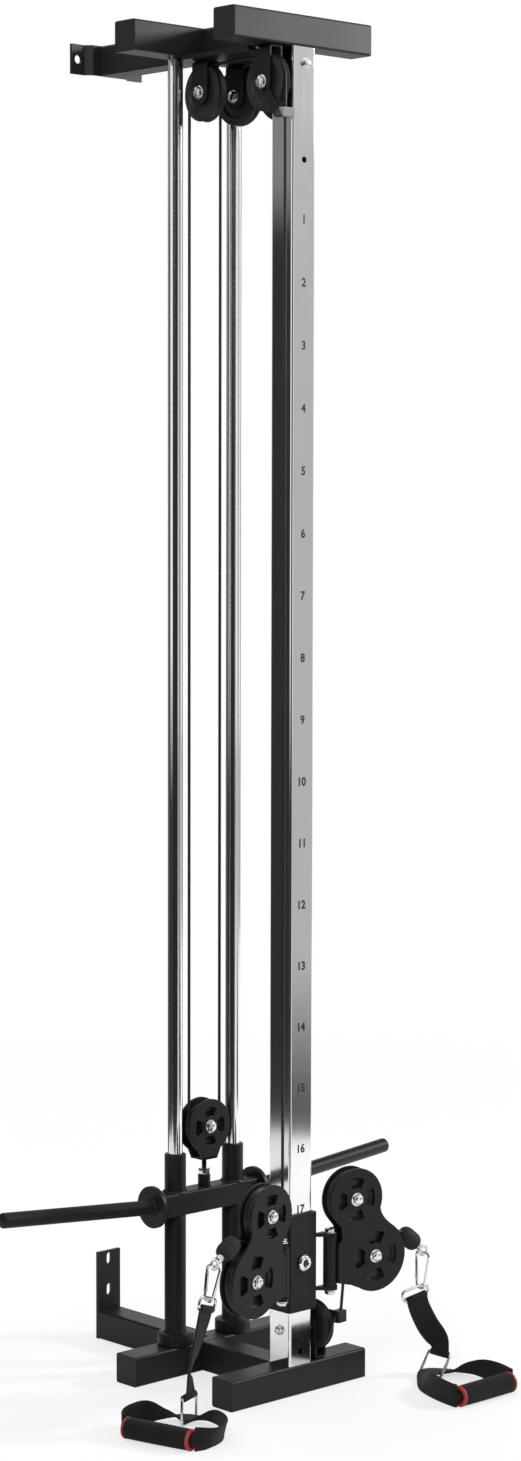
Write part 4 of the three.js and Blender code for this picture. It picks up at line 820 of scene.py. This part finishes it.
def addYoke():
    # the thread is a zigzag of crest and root, and each plate an arc about the axle with two straight flanks
    at = np.array([0, rodY, 0])
    ridge = np.arange(stem["ridges"])
    zigzag = np.where(ridge % 2, stem["crest"], stem["root"])
    thread = np.stack([zigzag, stem["threadFoot"] + ridge * stem["pitch"]], -1)
    profile = profileOf([*stem["foot"], *thread, *stem["tip"]])
    addPiece("liftStem", revolve(profile, at, sides=40), "weight_carriage", "tubeCoat", ("lift_stem",),
             sharp=28)
    addPiece("liftNut", hexHead(*stem["nut"], at + upZ * stem["nutFoot"], upZ), "weight_carriage",
             "boltChrome", sharp=28)
    radius, drop, footHalf, floorHalf = (yoke[key] for key in ("radius", "drop", "footHalf", "floorHalf"))
    lean = math.degrees(math.acos((radius - footHalf) / drop))
    outline = np.concatenate([flatArc(radius, -lean, 180 + lean, 90),
                              [(-footHalf, -drop), (footHalf, -drop)]])
    centre, leg = at + upZ * liftZ, (gaps["yoke"] + plateThick) / 2
    plates = [plateShape(outline, plateThick, windowsOf(radius, (0, 0)), centre=y) for y in (-leg, leg)]
    floor = plateShape(roundedBox((-floorHalf, -footHalf), (floorHalf, footHalf), 1.5 * mm, 4), plateThick)
    floor = moved(floor, (0, 1, 0), (0, 0, 1), (1, 0, 0), -upZ * (drop - plateThick / 2))
    addPiece("liftYoke", moved(together(*plates, floor), origin=centre), "weight_carriage", "plateCoat",
             ("lift_yoke",), sharp=20)
    addPiece("bolt_lift", boltShape(centre, (0, -1, 0), gaps["yoke"] + 2 * plateThick), "weight_carriage",
             "boltChrome", sharp=28)


addCarriage()
addYoke()
print("stage: rods and plate carriage")


# swivel arms: two plates with the two wheels between, on a barrel about the hinge pin
arm = {"lowerArc": (230, 412), "upperArc": (-20, 215), "waist": (-4 * mm, 16 * mm), "dome": 3.2 * mm,
       "throat": [(15, 270.5), (15, 251), (8, 244), (8, 180)],
       "web": [(8, 180), (15, 180), (15, 244), (8, 244)],
       "barrel": [(5.8, 175.3), (10.9, 175.3), (11.5, 175.9), (11.5, 257.1), (10.9, 257.7), (5.8, 257.7),
                  (5.8, 175.3)]}


def armOutline():
    # an arc about each axle, a quadratic curve (1-t)^2*a + 2t(1-t)*waist + t^2*b between, and the throat
    (upperOut, upperUp, upperRadius, _), (lowerOut, lowerUp, lowerRadius, _) = lobes["upper"], lobes["lower"]
    lower = flatArc(lowerRadius, *arm["lowerArc"], 70, (lowerOut, lowerUp))
    upper = flatArc(upperRadius, *arm["upperArc"], 80, (upperOut, upperUp))
    waist = np.array([upperOut + upperRadius, (upperUp + lowerUp) / 2]) + arm["waist"]
    t = np.linspace(0, 1, 14)[1:-1, None]
    between = (1 - t) ** 2 * lower[-1] + 2 * t * (1 - t) * waist + t ** 2 * upper[0]
    return np.concatenate([lower, between, upper, np.array(arm["throat"]) * mm])


def addArms():  # one set of plates, web and barrel, moved to each hinge
    leg, outline = (gaps["arm"] + plateThick) / 2, armOutline()
    holes = [hole for out, height, radius, _ in lobes.values() for hole in windowsOf(radius, (out, height))]
    parts = [plateShape(outline, plateThick, holes, centre=y) for y in (-leg, leg)]
    parts += [plateShape(np.array(arm["web"]) * mm, gaps["arm"]), revolve(profileOf(arm["barrel"]), sides=56)]
    for side, hinge in hinges.items():
        along = level(armYaw[side])
        addPiece(f"armPlates_{side}", moved(together(*parts), along, acrossOf(along), upZ, hinge),
                 f"swivel_arm_{side}", "plateCoat", (f"arm_{side}",), sharp=20)
        headSide = acrossOf(along) * (1 if side == "left" else -1)
        axles = [inPlane(hinge, along, [lobe[:2]])[0] for lobe in lobes.values()]
        bolts = [boltShape(axle, headSide, gaps["arm"] + 2 * plateThick, arm["dome"]) for axle in axles]
        addPiece(f"armBolts_{side}", together(*bolts), f"swivel_arm_{side}", "boltChrome", sharp=28)


# hinge pins through the slider's ears, and the spring pull pin on its front
hingePin = {"across": 16 * mm, "head": 6.5 * mm, "washer": 1.2 * mm, "headDome": 1.4 * mm,
            "nutDome": 2.6 * mm, "radius": 5.5 * mm, "foot": 168.7 * mm, "top": 264.3 * mm}
pullPin = {"face": (0, -31.8 * mm, 0.221), "shank": [(0, -6.5), (5, -6.5), (5, 2), (0, 2)],
           "ring": [(5, 0.1), (13.2, 0.1), (14, 1.1), (14, 2.4), (13.2, 4.6), (11.2, 6.3), (9, 7), (7.2, 6.6),
                    (6, 5), (5, 3), (5, 0.1)],
           "plug": [(0, 1.8), (5.6, 1.8), (5.6, 4.2), (4.4, 4.9), (0, 5.1)]}


def addPins():  # plain shanks with hexagon ends, and the pull pin's profiles turned about its axis
    radius, foot, top, across, head, washer = (hingePin[key] for key in (
        "radius", "foot", "top", "across", "head", "washer"))
    for side, at in hinges.items():
        shank = revolve([(0, foot), (radius, foot), (radius, top), (0, top)], at, sides=40)
        heads = [hexHead(across, head, at + upZ * top, upZ, hingePin["headDome"], washer),
                 hexHead(across, head, at + upZ * foot, -upZ, hingePin["nutDome"], washer)]
        addPiece(f"hingePin_{side}", together(shank, *heads), "pulley_carriage", "boltChrome",
                 (f"hinge_pin_{side}",), sharp=28)
    shank, ring, plug = (revolve(profileOf(pullPin[key]), pullPin["face"], (0, -1, 0), sides)
                         for key, sides in (("shank", 40), ("ring", 64), ("plug", 48)))
    addPiece("pullPin", together(shank, ring), "pull_pin", "ringChrome", ("pull_pin",))
    addPiece("pullPinPlug", plug, "pull_pin", "pulleyNylon")


addArms()
addPins()
print("stage: arms and pins")


# handles: wire rings and hook, webbing, thread and grip
wire = {"radius": 2.4 * mm, "ring": 24 * mm, "upper": 17 * mm, "lower": 41 * mm, "eye": 7.5 * mm,
        "play": 0.5 * mm, "bend": 4.5 * mm, "upperBend": 9.5 * mm}
eyeNeck = {"gap": 0.3 * mm, "length": 12 * mm,
           "rows": [(0, 0), (6.5, 0), (6.5, 3.4), (5.6, 4), (5.6, 5.2), (6.4, 6), (6.4, 9.5), (4.6, 11.6),
                    (0, 12.4)]}
# the hook's half widths, and its gate: radius, first and last share of the side
hook = {"top": 13 * mm, "foot": 7 * mm, "topBend": 9 * mm, "footBend": 6 * mm,
        "gate": [(3.0 * mm, 0.30, 0.74), (3.5 * mm, 0.25, 0.31), (3.3 * mm, 0.73, 0.78)],
        "pinAt": 0.28, "pinRadius": 1.3 * mm, "pinHalf": 4.2 * mm}
web = {"width": 38 * mm, "thick": 4 * mm, "fold": 5.7 * mm, "foldBore": 2.75 * mm, "foldEase": 1 * mm,
       "clear": 0.3 * mm}
thread = {"radius": 0.45 * mm, "long": 2.9 * mm, "ease": 0.2 * mm, "step": 4.4 * mm, "proud": 0.05 * mm}
seamRows = {"strap": (-16 * mm, 16 * mm), "strapEnd": (-12 * mm, -6 * mm, 0, 6 * mm, 12 * mm),
            "loop": (-15.5 * mm, 15.5 * mm)}
grip = {"radius": 17 * mm, "half": 62 * mm, "bore": 7 * mm, "cap": 4.6 * mm, "height": 17.3 * mm,
        "loopPast": 4.3 * mm, "core": 6 * mm, "swell": 0.35 * mm, "shoulder": 1.2 * mm,
        "gripRings": [(12.4, 0), (16.8, 0), (17, 0.5), (17, 3.2), (16.2, 4.3), (15, 4.6), (12.8, 4.6),
                      (12.4, 4.1), (12.4, 0)],
        "gripCones": [(7, 0), (12.4, 0), (12.4, 3.4), (7, 1.6), (7, 0)]}


def hung(origin, down, side):  # x, y, z and origin of a frame whose -z runs along down
    z = -unit(down)
    x = unit(np.asarray(side, float) - z * np.dot(side, z))
    return x, np.cross(z, x), z, np.asarray(origin, float)


def wireShape(corners, bends):  # a round wire carried round a closed loop of corners, each with its bend
    path = np.insert(rounded(corners, bends, 12), 1, 0.0, axis=1)
    return carried(circle(wire["radius"], 16), path, (0, 1, 0), closed=True)


def bar(radius, start, stop, ease=0.5 * mm, sides=24):  # a round bar with eased ends between two points
    start, stop = np.asarray(start, float), np.asarray(stop, float)
    return revolve(barProfile(radius, float(np.linalg.norm(stop - start)), ease), start, stop - start, sides)


def webAlong(points, sides, count):
    # the two-ply band along its curve, with a shallow groove on each face inside both edges
    row = evenly(curveThrough(np.hstack([points, sides])), count)
    path, side = row[:, :3], row[:, 3:]
    across = np.array([-1, -0.93, -0.86, -0.80, -0.5, 0, 0.5, 0.80, 0.86, 0.93, 1.0])
    swell = np.array([0.45, 0.9, 1.0, 0.86, 0.97, 1.0, 0.97, 0.86, 1.0, 0.9, 0.45])
    upper = np.stack([across * web["width"] / 2, swell * web["thick"] / 2], -1)
    section = np.concatenate([upper, upper[::-1] * np.array([1, -1])])
    return carried(section, path, side), path, side


def stitches(path, side, rows, start, stop, face):
    # short thread bars along the band's own lengths, on one face: place + x*tangent + y*n + z*b
    at = np.arange(start, stop, thread["step"])
    place, *axes = (np.stack([np.interp(at, lengths(path), column) for column in values.T], -1)
                    for values in (path, *framesOf(path, side)))
    tangent, n, b = (unit(axis) for axis in axes)
    template, faces, _ = bar(thread["radius"], (0, 0, 0), (thread["long"], 0, 0), thread["ease"], 6)
    barFaces = [[i + k * len(template) for i in f] for k in range(len(at)) for f in faces]
    shapes = []
    for row in rows:
        proud = face * (web["thick"] / 2 + thread["proud"])
        origin = place + n * row + b * proud - tangent * thread["long"] / 2
        points = origin[:, None] + sum(template[None, :, k:k + 1] * axis[:, None]
                                       for k, axis in enumerate((tangent, n, b)))
        flat = points.reshape(-1, 3)
        shapes.append((flat, barFaces, np.zeros((len(flat), 2))))
    return together(*shapes)


def seamsOf(path, side, spans):  # the same rows of stitches on both faces
    return together(*[stitches(path, side, rows, start, stop, face)
                      for face in (1, -1) for rows, start, stop in spans])


def foldShape(ringFrame):
    # a roll of the band round a ring's bar, with the bar's own clearance inside
    bore, r, ease, half = web["foldBore"], web["fold"], web["foldEase"], web["width"] / 2
    profile = [(bore, -half), (r - ease, -half), (r, -half + ease), (r, half - ease), (r - ease, half),
               (bore, half), (bore, -half)]
    return revolve(profile, ringFrame[3], ringFrame[0], 40)


def addStop(side, stop, away):
    # each end runs from the full radius to the tip on a quarter ellipse, with a groove round the middle
    tip, half, radius = stopRubber["tip"], stopRubber["length"] / 2, stopRubber["radius"]
    k = np.linspace(0, np.pi / 2, 9)
    front = np.stack([tip + (radius - tip) * np.cos(k), half * (1 + 2 * np.sin(k)) / 3], -1)
    rear, groove = front[::-1] * np.array([1, -1]), profileOf(stopRubber["groove"])
    profile = np.concatenate([[(0, -half)], rear, groove, front, [(0, half)]])
    addPiece(f"stop_{side}", revolve(profile, stop, away, 64), f"swivel_arm_{side}", "stopRubber",
             (f"cable_stop_{side}",), sharp=30)


def addEye(side, stop, away):  # a collared neck and a wire circle on it, whose centre it gives back
    neck = stopRubber["length"] / 2 + eyeNeck["gap"]
    reach = neck + eyeNeck["length"] + wire["eye"]
    path = np.insert(circle(wire["eye"], 40), 1, 0.0, axis=1) - upZ * reach
    eye = moved(carried(circle(wire["radius"], 16), path, (0, 1, 0), closed=True),
                *hung(stop, away, level(armYaw[side])))
    addPiece(f"swivelEye_{side}", together(revolve(profileOf(eyeNeck["rows"], neck), stop, away, 40), eye),
             f"swivel_arm_{side}", "ringChrome", (f"swivel_eye_{side}",), sharp=30)
    return stop + away * reach


def addHook(side, eyeCentre, ringFrame):
    # the upper ring, and the hook from the eye to it: a wire loop that narrows downwards, with a gate
    half, high = wire["ring"], wire["upper"]
    bow = [(half, 0), (half, high), (-half, high), (-half, 0)]
    bends = [wire["bend"], wire["upperBend"], wire["upperBend"], wire["bend"]]
    addPiece(f"upperRing_{side}", moved(wireShape(bow, bends), *ringFrame), f"handle_{side}", "ringChrome",
             (f"upper_ring_{side}",))
    gap = 2 * wire["radius"] + wire["play"]
    drop = ringFrame[3] + ringFrame[0] * handles[side]["ringSlide"] + ringFrame[2] * high - eyeCentre
    down, slack = unit(drop), wire["eye"] - gap
    foot = slack - np.linalg.norm(drop) - gap
    corners = np.array([(hook["top"], 0), (hook["foot"], foot), (-hook["foot"], foot), (-hook["top"], 0)])
    parts = [wireShape(corners, [hook["topBend"], hook["footBend"], hook["footBend"], hook["topBend"]])]

    def onGate(share):  # the point at this share of the loop's side
        return np.insert(corners[2] + (corners[3] - corners[2]) * share, 1, 0.0)

    parts += [bar(radius, onGate(start), onGate(stop)) for radius, start, stop in hook["gate"]]
    pin, across = onGate(hook["pinAt"]), np.array([0, hook["pinHalf"], 0])
    parts.append(bar(hook["pinRadius"], pin - across, pin + across, 0.3 * mm, 16))
    hookFrame = hung(eyeCentre + down * slack, down, level(handles[side]["hookYaw"]))
    addPiece(f"snapHook_{side}", moved(together(*parts), *hookFrame), f"handle_{side}", "ringChrome",
             (f"snap_hook_{side}",))


def addStrap(side, points, sides, ringFrame):  # the band with a roll round each ring, and the lower ring
    body = f"handle_{side}"
    ribbon, path, sideRow = webAlong(points, sides, 90)
    lean = math.radians(handles[side]["ringLean"])
    footFrame = hung(points[-1], -acrossOf(sides[-1]) * math.sin(lean) - upZ * math.cos(lean), sides[-1])
    shape = together(ribbon, foldShape(ringFrame), foldShape(footFrame))
    addPiece(f"webStrap_{side}", shape, body, "webbing", (f"strap_{side}",), sharp=50)
    spans = ((seamRows["strap"], 7 * mm, lengths(path)[-1] - 7 * mm), (seamRows["strapEnd"], 8 * mm, 20 * mm))
    addPiece(f"strapStitching_{side}", seamsOf(path, sideRow, spans), body, "thread", sharp=60)
    half, low = wire["ring"], -wire["lower"]
    addPiece(f"lowerRing_{side}", moved(wireShape([(half, 0), (half, low), (-half, low), (-half, 0)],
                                                  [wire["bend"]] * 4), *footFrame),
             body, "ringChrome", (f"lower_ring_{side}",))


def addHandLoop(side, centre, axis):
    # band places are x, y, how far its top edge tips to the loop's inside, and its lift off the floor
    reach = grip["half"] + grip["loopPast"]
    first, last = ([*(centre + axis * end)[:2] / mm, 0, 0] for end in (-reach, reach))
    x, y, tipped, lift = np.array([first, *handles[side]["band"], last]).T
    tipped = np.radians(tipped)
    flat = np.stack([x, y], -1)
    ahead = unit(np.concatenate([flat[1:], flat[-1:]]) - np.concatenate([flat[:1], flat[:-1]]))
    height = (web["width"] * np.cos(tipped) + web["thick"] * np.sin(tipped)) / 2 + web["clear"] + lift * mm
    points = np.stack([x * mm, y * mm, height], -1)
    sides = np.stack([ahead[:, 1] * np.sin(tipped), -ahead[:, 0] * np.sin(tipped), np.cos(tipped)], -1)
    loop, path, sideRow = webAlong(points, sides, 200)
    core = bar(grip["core"], centre - axis * reach, centre + axis * reach)
    addPiece(f"handLoop_{side}", together(loop, core), f"handle_{side}", "webbing", (f"hand_loop_{side}",),
             sharp=50)
    seams = seamsOf(path, sideRow, [(seamRows["loop"], 6 * mm, lengths(path)[-1] - 6 * mm)])
    addPiece(f"loopStitching_{side}", seams, f"handle_{side}", "thread", sharp=60)


def addGrip(side, centre, axis):
    # the foam's radius swells by a cosine over its length; a red ring and a dark cone close each end
    radius, bore, inner = grip["radius"], grip["bore"], grip["half"] - grip["cap"]
    along = np.linspace(-inner, inner, 25)[1:-1]
    skin = np.stack([radius - grip["swell"] * (1 - np.cos(along / inner * np.pi / 2)), along], -1)
    shoulder = radius - grip["shoulder"]
    foam = [(bore, -inner), (shoulder, -inner), *skin, (shoulder, inner), (bore, inner), (bore, -inner)]
    foamPiece = addPiece(f"foamGrip_{side}", revolve(foam, centre, axis, 72), f"grip_{side}", "gripFoam",
                         (f"grip_{side}",), sharp=50)
    for name, finish, sides in (("gripRings", "ringRed", 72), ("gripCones", "ringDark", 56)):
        ends = [revolve(profileOf(grip[name]), centre + axis * end * inner, axis * end, sides)
                for end in (-1, 1)]
        addPiece(f"{name}_{side}", together(*ends), f"grip_{side}", finish, sharp=40)


def addHandle(side):  # everything from the rubber stop down to the grip
    handle = handles[side]
    along, lean = level(armYaw[side]), math.radians(handle["lean"])
    away = along * math.sin(lean) - upZ * math.cos(lean)
    stop = inPlane(hinges[side], along, [handle["stop"]])[0]
    addStop(side, stop, away)
    eyeCentre = addEye(side, stop, away)
    points = np.array(handle["strap"]) * mm
    sides = np.array([level(yaw) for yaw in handle["strapYaws"]])
    ringFrame = hung(points[0], points[1] - points[0], sides[0])
    addHook(side, eyeCentre, ringFrame)
    addStrap(side, points, sides, ringFrame)
    x, y, yaw = handle["grip"]
    centre = np.array([x * mm, y * mm, grip["height"]])
    addHandLoop(side, centre, level(yaw))
    addGrip(side, centre, level(yaw))


for side in ("right", "left"):
    addHandle(side)
print("stage: handles")


# printed numbers on the column's front, 17 at the foot
numbers = {"count": 17, "low": 308.7 * mm, "pitch": 100 * mm, "tall": 14.5 * mm, "lift": 0.12 * mm,
           "face": -25 * mm, "resolution": 4, "bolder": 0.032, "extrude": 0.004, "depth": 1.2}


def textMesh(text):  # a text's own outline, thickened and made a mesh
    curve = bpy.data.curves.new("digits", "FONT")
    curve.body, curve.align_x, curve.align_y = text, "CENTER", "CENTER"
    curve.extrude, curve.offset = numbers["extrude"], numbers["bolder"]
    curve.resolution_u = numbers["resolution"]
    obj = bpy.data.objects.new("digits", curve)
    bpy.context.collection.objects.link(obj)
    bpy.context.view_layer.update()
    mesh = bpy.data.meshes.new_from_object(obj.evaluated_get(bpy.context.evaluated_depsgraph_get()))
    bpy.data.objects.remove(obj)
    points = np.zeros(len(mesh.vertices) * 3)
    mesh.vertices.foreach_get("co", points)
    faces = [list(p.vertices) for p in mesh.polygons]
    return points.reshape(-1, 3), faces, np.zeros((len(mesh.vertices), 2))


def addNumbers():
    # each number is centred, scaled to its height and stood upright just proud of the column's face
    scale = numbers["tall"] / np.ptp(textMesh("8")[0][:, 1])
    shapes = []
    for k in range(numbers["count"]):
        points, faces, uv = textMesh(str(k + 1))
        points[:, :2] -= (points[:, :2].max(0) + points[:, :2].min(0)) / 2
        x, y, z = points.T * scale
        height = numbers["low"] + (numbers["count"] - 1 - k) * numbers["pitch"]
        place = np.stack([x, numbers["face"] - numbers["lift"] / 2 - z * numbers["depth"], height + y], -1)
        shapes.append((place, faces, uv))
    addPiece("columnNumbers", together(*shapes), "frame", "printInk", sharp=30)


# small bolts that hold the column in its collars: place and axis
columnBolt = {"across": 13 * mm, "head": 5.5 * mm, "dome": 1.8 * mm, "washer": 1.2 * mm,
              "places": [((3 * mm, -25 * mm, 2.154), (0, -1, 0)), ((-25 * mm, -2 * mm, 0.108), (-1, 0, 0))]}


def addColumnBolts():  # one domed head with its washer at each place
    across, head, dome, washer = (columnBolt[key] for key in ("across", "head", "dome", "washer"))
    heads = [hexHead(across, head, place, axis, dome, washer) for place, axis in columnBolt["places"]]
    addPiece("columnBolts", together(*heads), "frame", "boltChrome", sharp=28)


addNumbers()
addColumnBolts()

# nodes that keep their CAD shape take a procedural finish
kept = {"base_frame": "frameCoat", "top_frame": "frameCoat", "column": "columnChrome", "slider": "plateCoat"}
for node, finish in kept.items():
    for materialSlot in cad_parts[node].material_slots:
        materialSlot.material = finishes[finish]
print("stage: numbers, bolts and frame finishes")


# the floor, the lamps and the cards that the chrome reflects
floor = {"half": 14, "low": 0.87, "high": 0.89, "dimShare": 0.34, "perMetre": 0.16, "near": 0.12, "far": 0.6}


def floorMaterial():
    # the camera sees the floor's own glow, which is weaker near the object so that its shadow shows
    t = Tree("floorWhite")
    colour = t.mix(t.noise(t.coords(), 3.0, 2.0), tone(floor["low"]), tone(floor["high"]))
    diffuse = t.node("ShaderNodeBsdfDiffuse", {}, {"Color": colour})
    glow = t.node("ShaderNodeEmission", {}, {"Color": tone(1.0), "Strength": 1.0})
    seen = t.node("ShaderNodeLightPath", {}, {}, "Is Camera Ray")
    away = t.node("ShaderNodeVectorMath", {"operation": "LENGTH"}, {0: t.coords()}, 1)
    nearness = 1 - t.fade(away * floor["perMetre"], floor["near"], floor["far"])
    share = seen * (1 - nearness * floor["dimShare"])
    return t.output(t.node("ShaderNodeMixShader", {}, {0: share, 1: diffuse, 2: glow}).socket)


# each card: first and last yaw, radius, lower and upper shade, and the heights between which they change
cards = {"cardLens": (-178, -95, 2.2, 0.022, 0.030, 0.2, 2.2),
         "cardSide": (144, 182, 2.2, 0.045, 0.92, 0.78, 1.15),
         "cardLeft": (122, 144, 2.2, 0.030, 0.24, 2.08, 2.2),
         "cardRear": (62, 122, 2.2, 0.10, 0.30, 0.4, 2.3),
         "cardFront": (-66, -28, 2.2, 0.10, 0.52, 0.08, 0.40),
         "cardRight": (5, 35, 5.5, 0.02, 0.03, 0.2, 2.2)}
cardRamp = {"reach": 4.0, "ripple": 0.02, "tallShare": 1.32}


def cardMaterial(name, low, high, start, stop):
    # one shade below the start height, another above the stop height, on a ramp whose reach is in metres
    t = Tree(name)
    p = t.coords()
    reach, ripple = cardRamp["reach"], cardRamp["ripple"]
    height = t.part(p, 2) * (1 / reach) + t.noise(p, 2.5, 3.0) * ripple
    rise = t.fade(height, start / reach + ripple / 2, stop / reach + ripple / 2)
    glow = t.node("ShaderNodeEmission", {}, {"Color": t.mix(rise, tone(low), tone(high)), "Strength": 1.0})
    return t.output(glow.socket)


def addSheetOf(name, points, material):  # one four-cornered face that isn't part of the object
    mesh = bpy.data.meshes.new(name)
    mesh.from_pydata(points, [], [(0, 1, 2, 3)])
    mesh.materials.append(material)
    obj = bpy.data.objects.new(name, mesh)
    bpy.context.collection.objects.link(obj)
    return obj


half = floor["half"]
addSheetOf("floor", [(-half, -half, 0), (half, -half, 0), (half, half, 0), (-half, half, 0)], floorMaterial())

# each lamp: place, target, size and power
lamps = {
    "key": ((-3.6, -2.2, 3.2), (0, 0, 1.2), 2.2, 90.0),
    "sheen": ((4.3, -2.8, 3.2), (0, 0, 1.9), 0.9, 200.0),
    "rear": ((0.5, 3.5, 3.4), (0, 0, 1.2), 2.0, 40.0),
}
for name, (place, target, size, power) in lamps.items():
    data = bpy.data.lights.new(name, "AREA")
    data.shape, data.size, data.energy = "DISK", size, power
    lamp = bpy.data.objects.new(name, data)
    lamp.location = place
    lamp.rotation_euler = (Vector(target) - Vector(place)).to_track_quat("-Z", "Y").to_euler()
    bpy.context.collection.objects.link(lamp)

for name, (start, stop, radius, *shades) in cards.items():
    a, b, tall = level(start) * radius, level(stop) * radius, upZ * cardRamp["tallShare"] * radius
    card = addSheetOf(name, [tuple(q) for q in (a, b, b + tall, a + tall)], cardMaterial(name, *shades))
    card.visible_camera = card.visible_diffuse = card.visible_shadow = card.visible_transmission = False

sky = {"soft": 0.62, "white": 1.0}  # the light on the object, and what the camera and mirrors see


def addWorld():  # white to the camera and to mirrors and glass, softer as light
    world = bpy.data.worlds.new("world")
    bpy.context.scene.world = world
    t = Tree("world", world)
    straight, glossy, clear = (t.node("ShaderNodeLightPath", {}, {}, f"Is {kind} Ray")
                               for kind in ("Camera", "Glossy", "Transmission"))
    seen = t.maths("MAXIMUM", t.maths("MAXIMUM", straight, glossy), clear)
    soft, white = (t.node("ShaderNodeBackground", {}, {"Color": tone(1.0), "Strength": sky[key]})
                   for key in ("soft", "white"))
    t.output(t.node("ShaderNodeMixShader", {}, {0: seen, 1: soft, 2: white}).socket, "World")


addWorld()
bpy.context.scene.view_settings.view_transform = "Standard"
print("stage: floor and lamps")
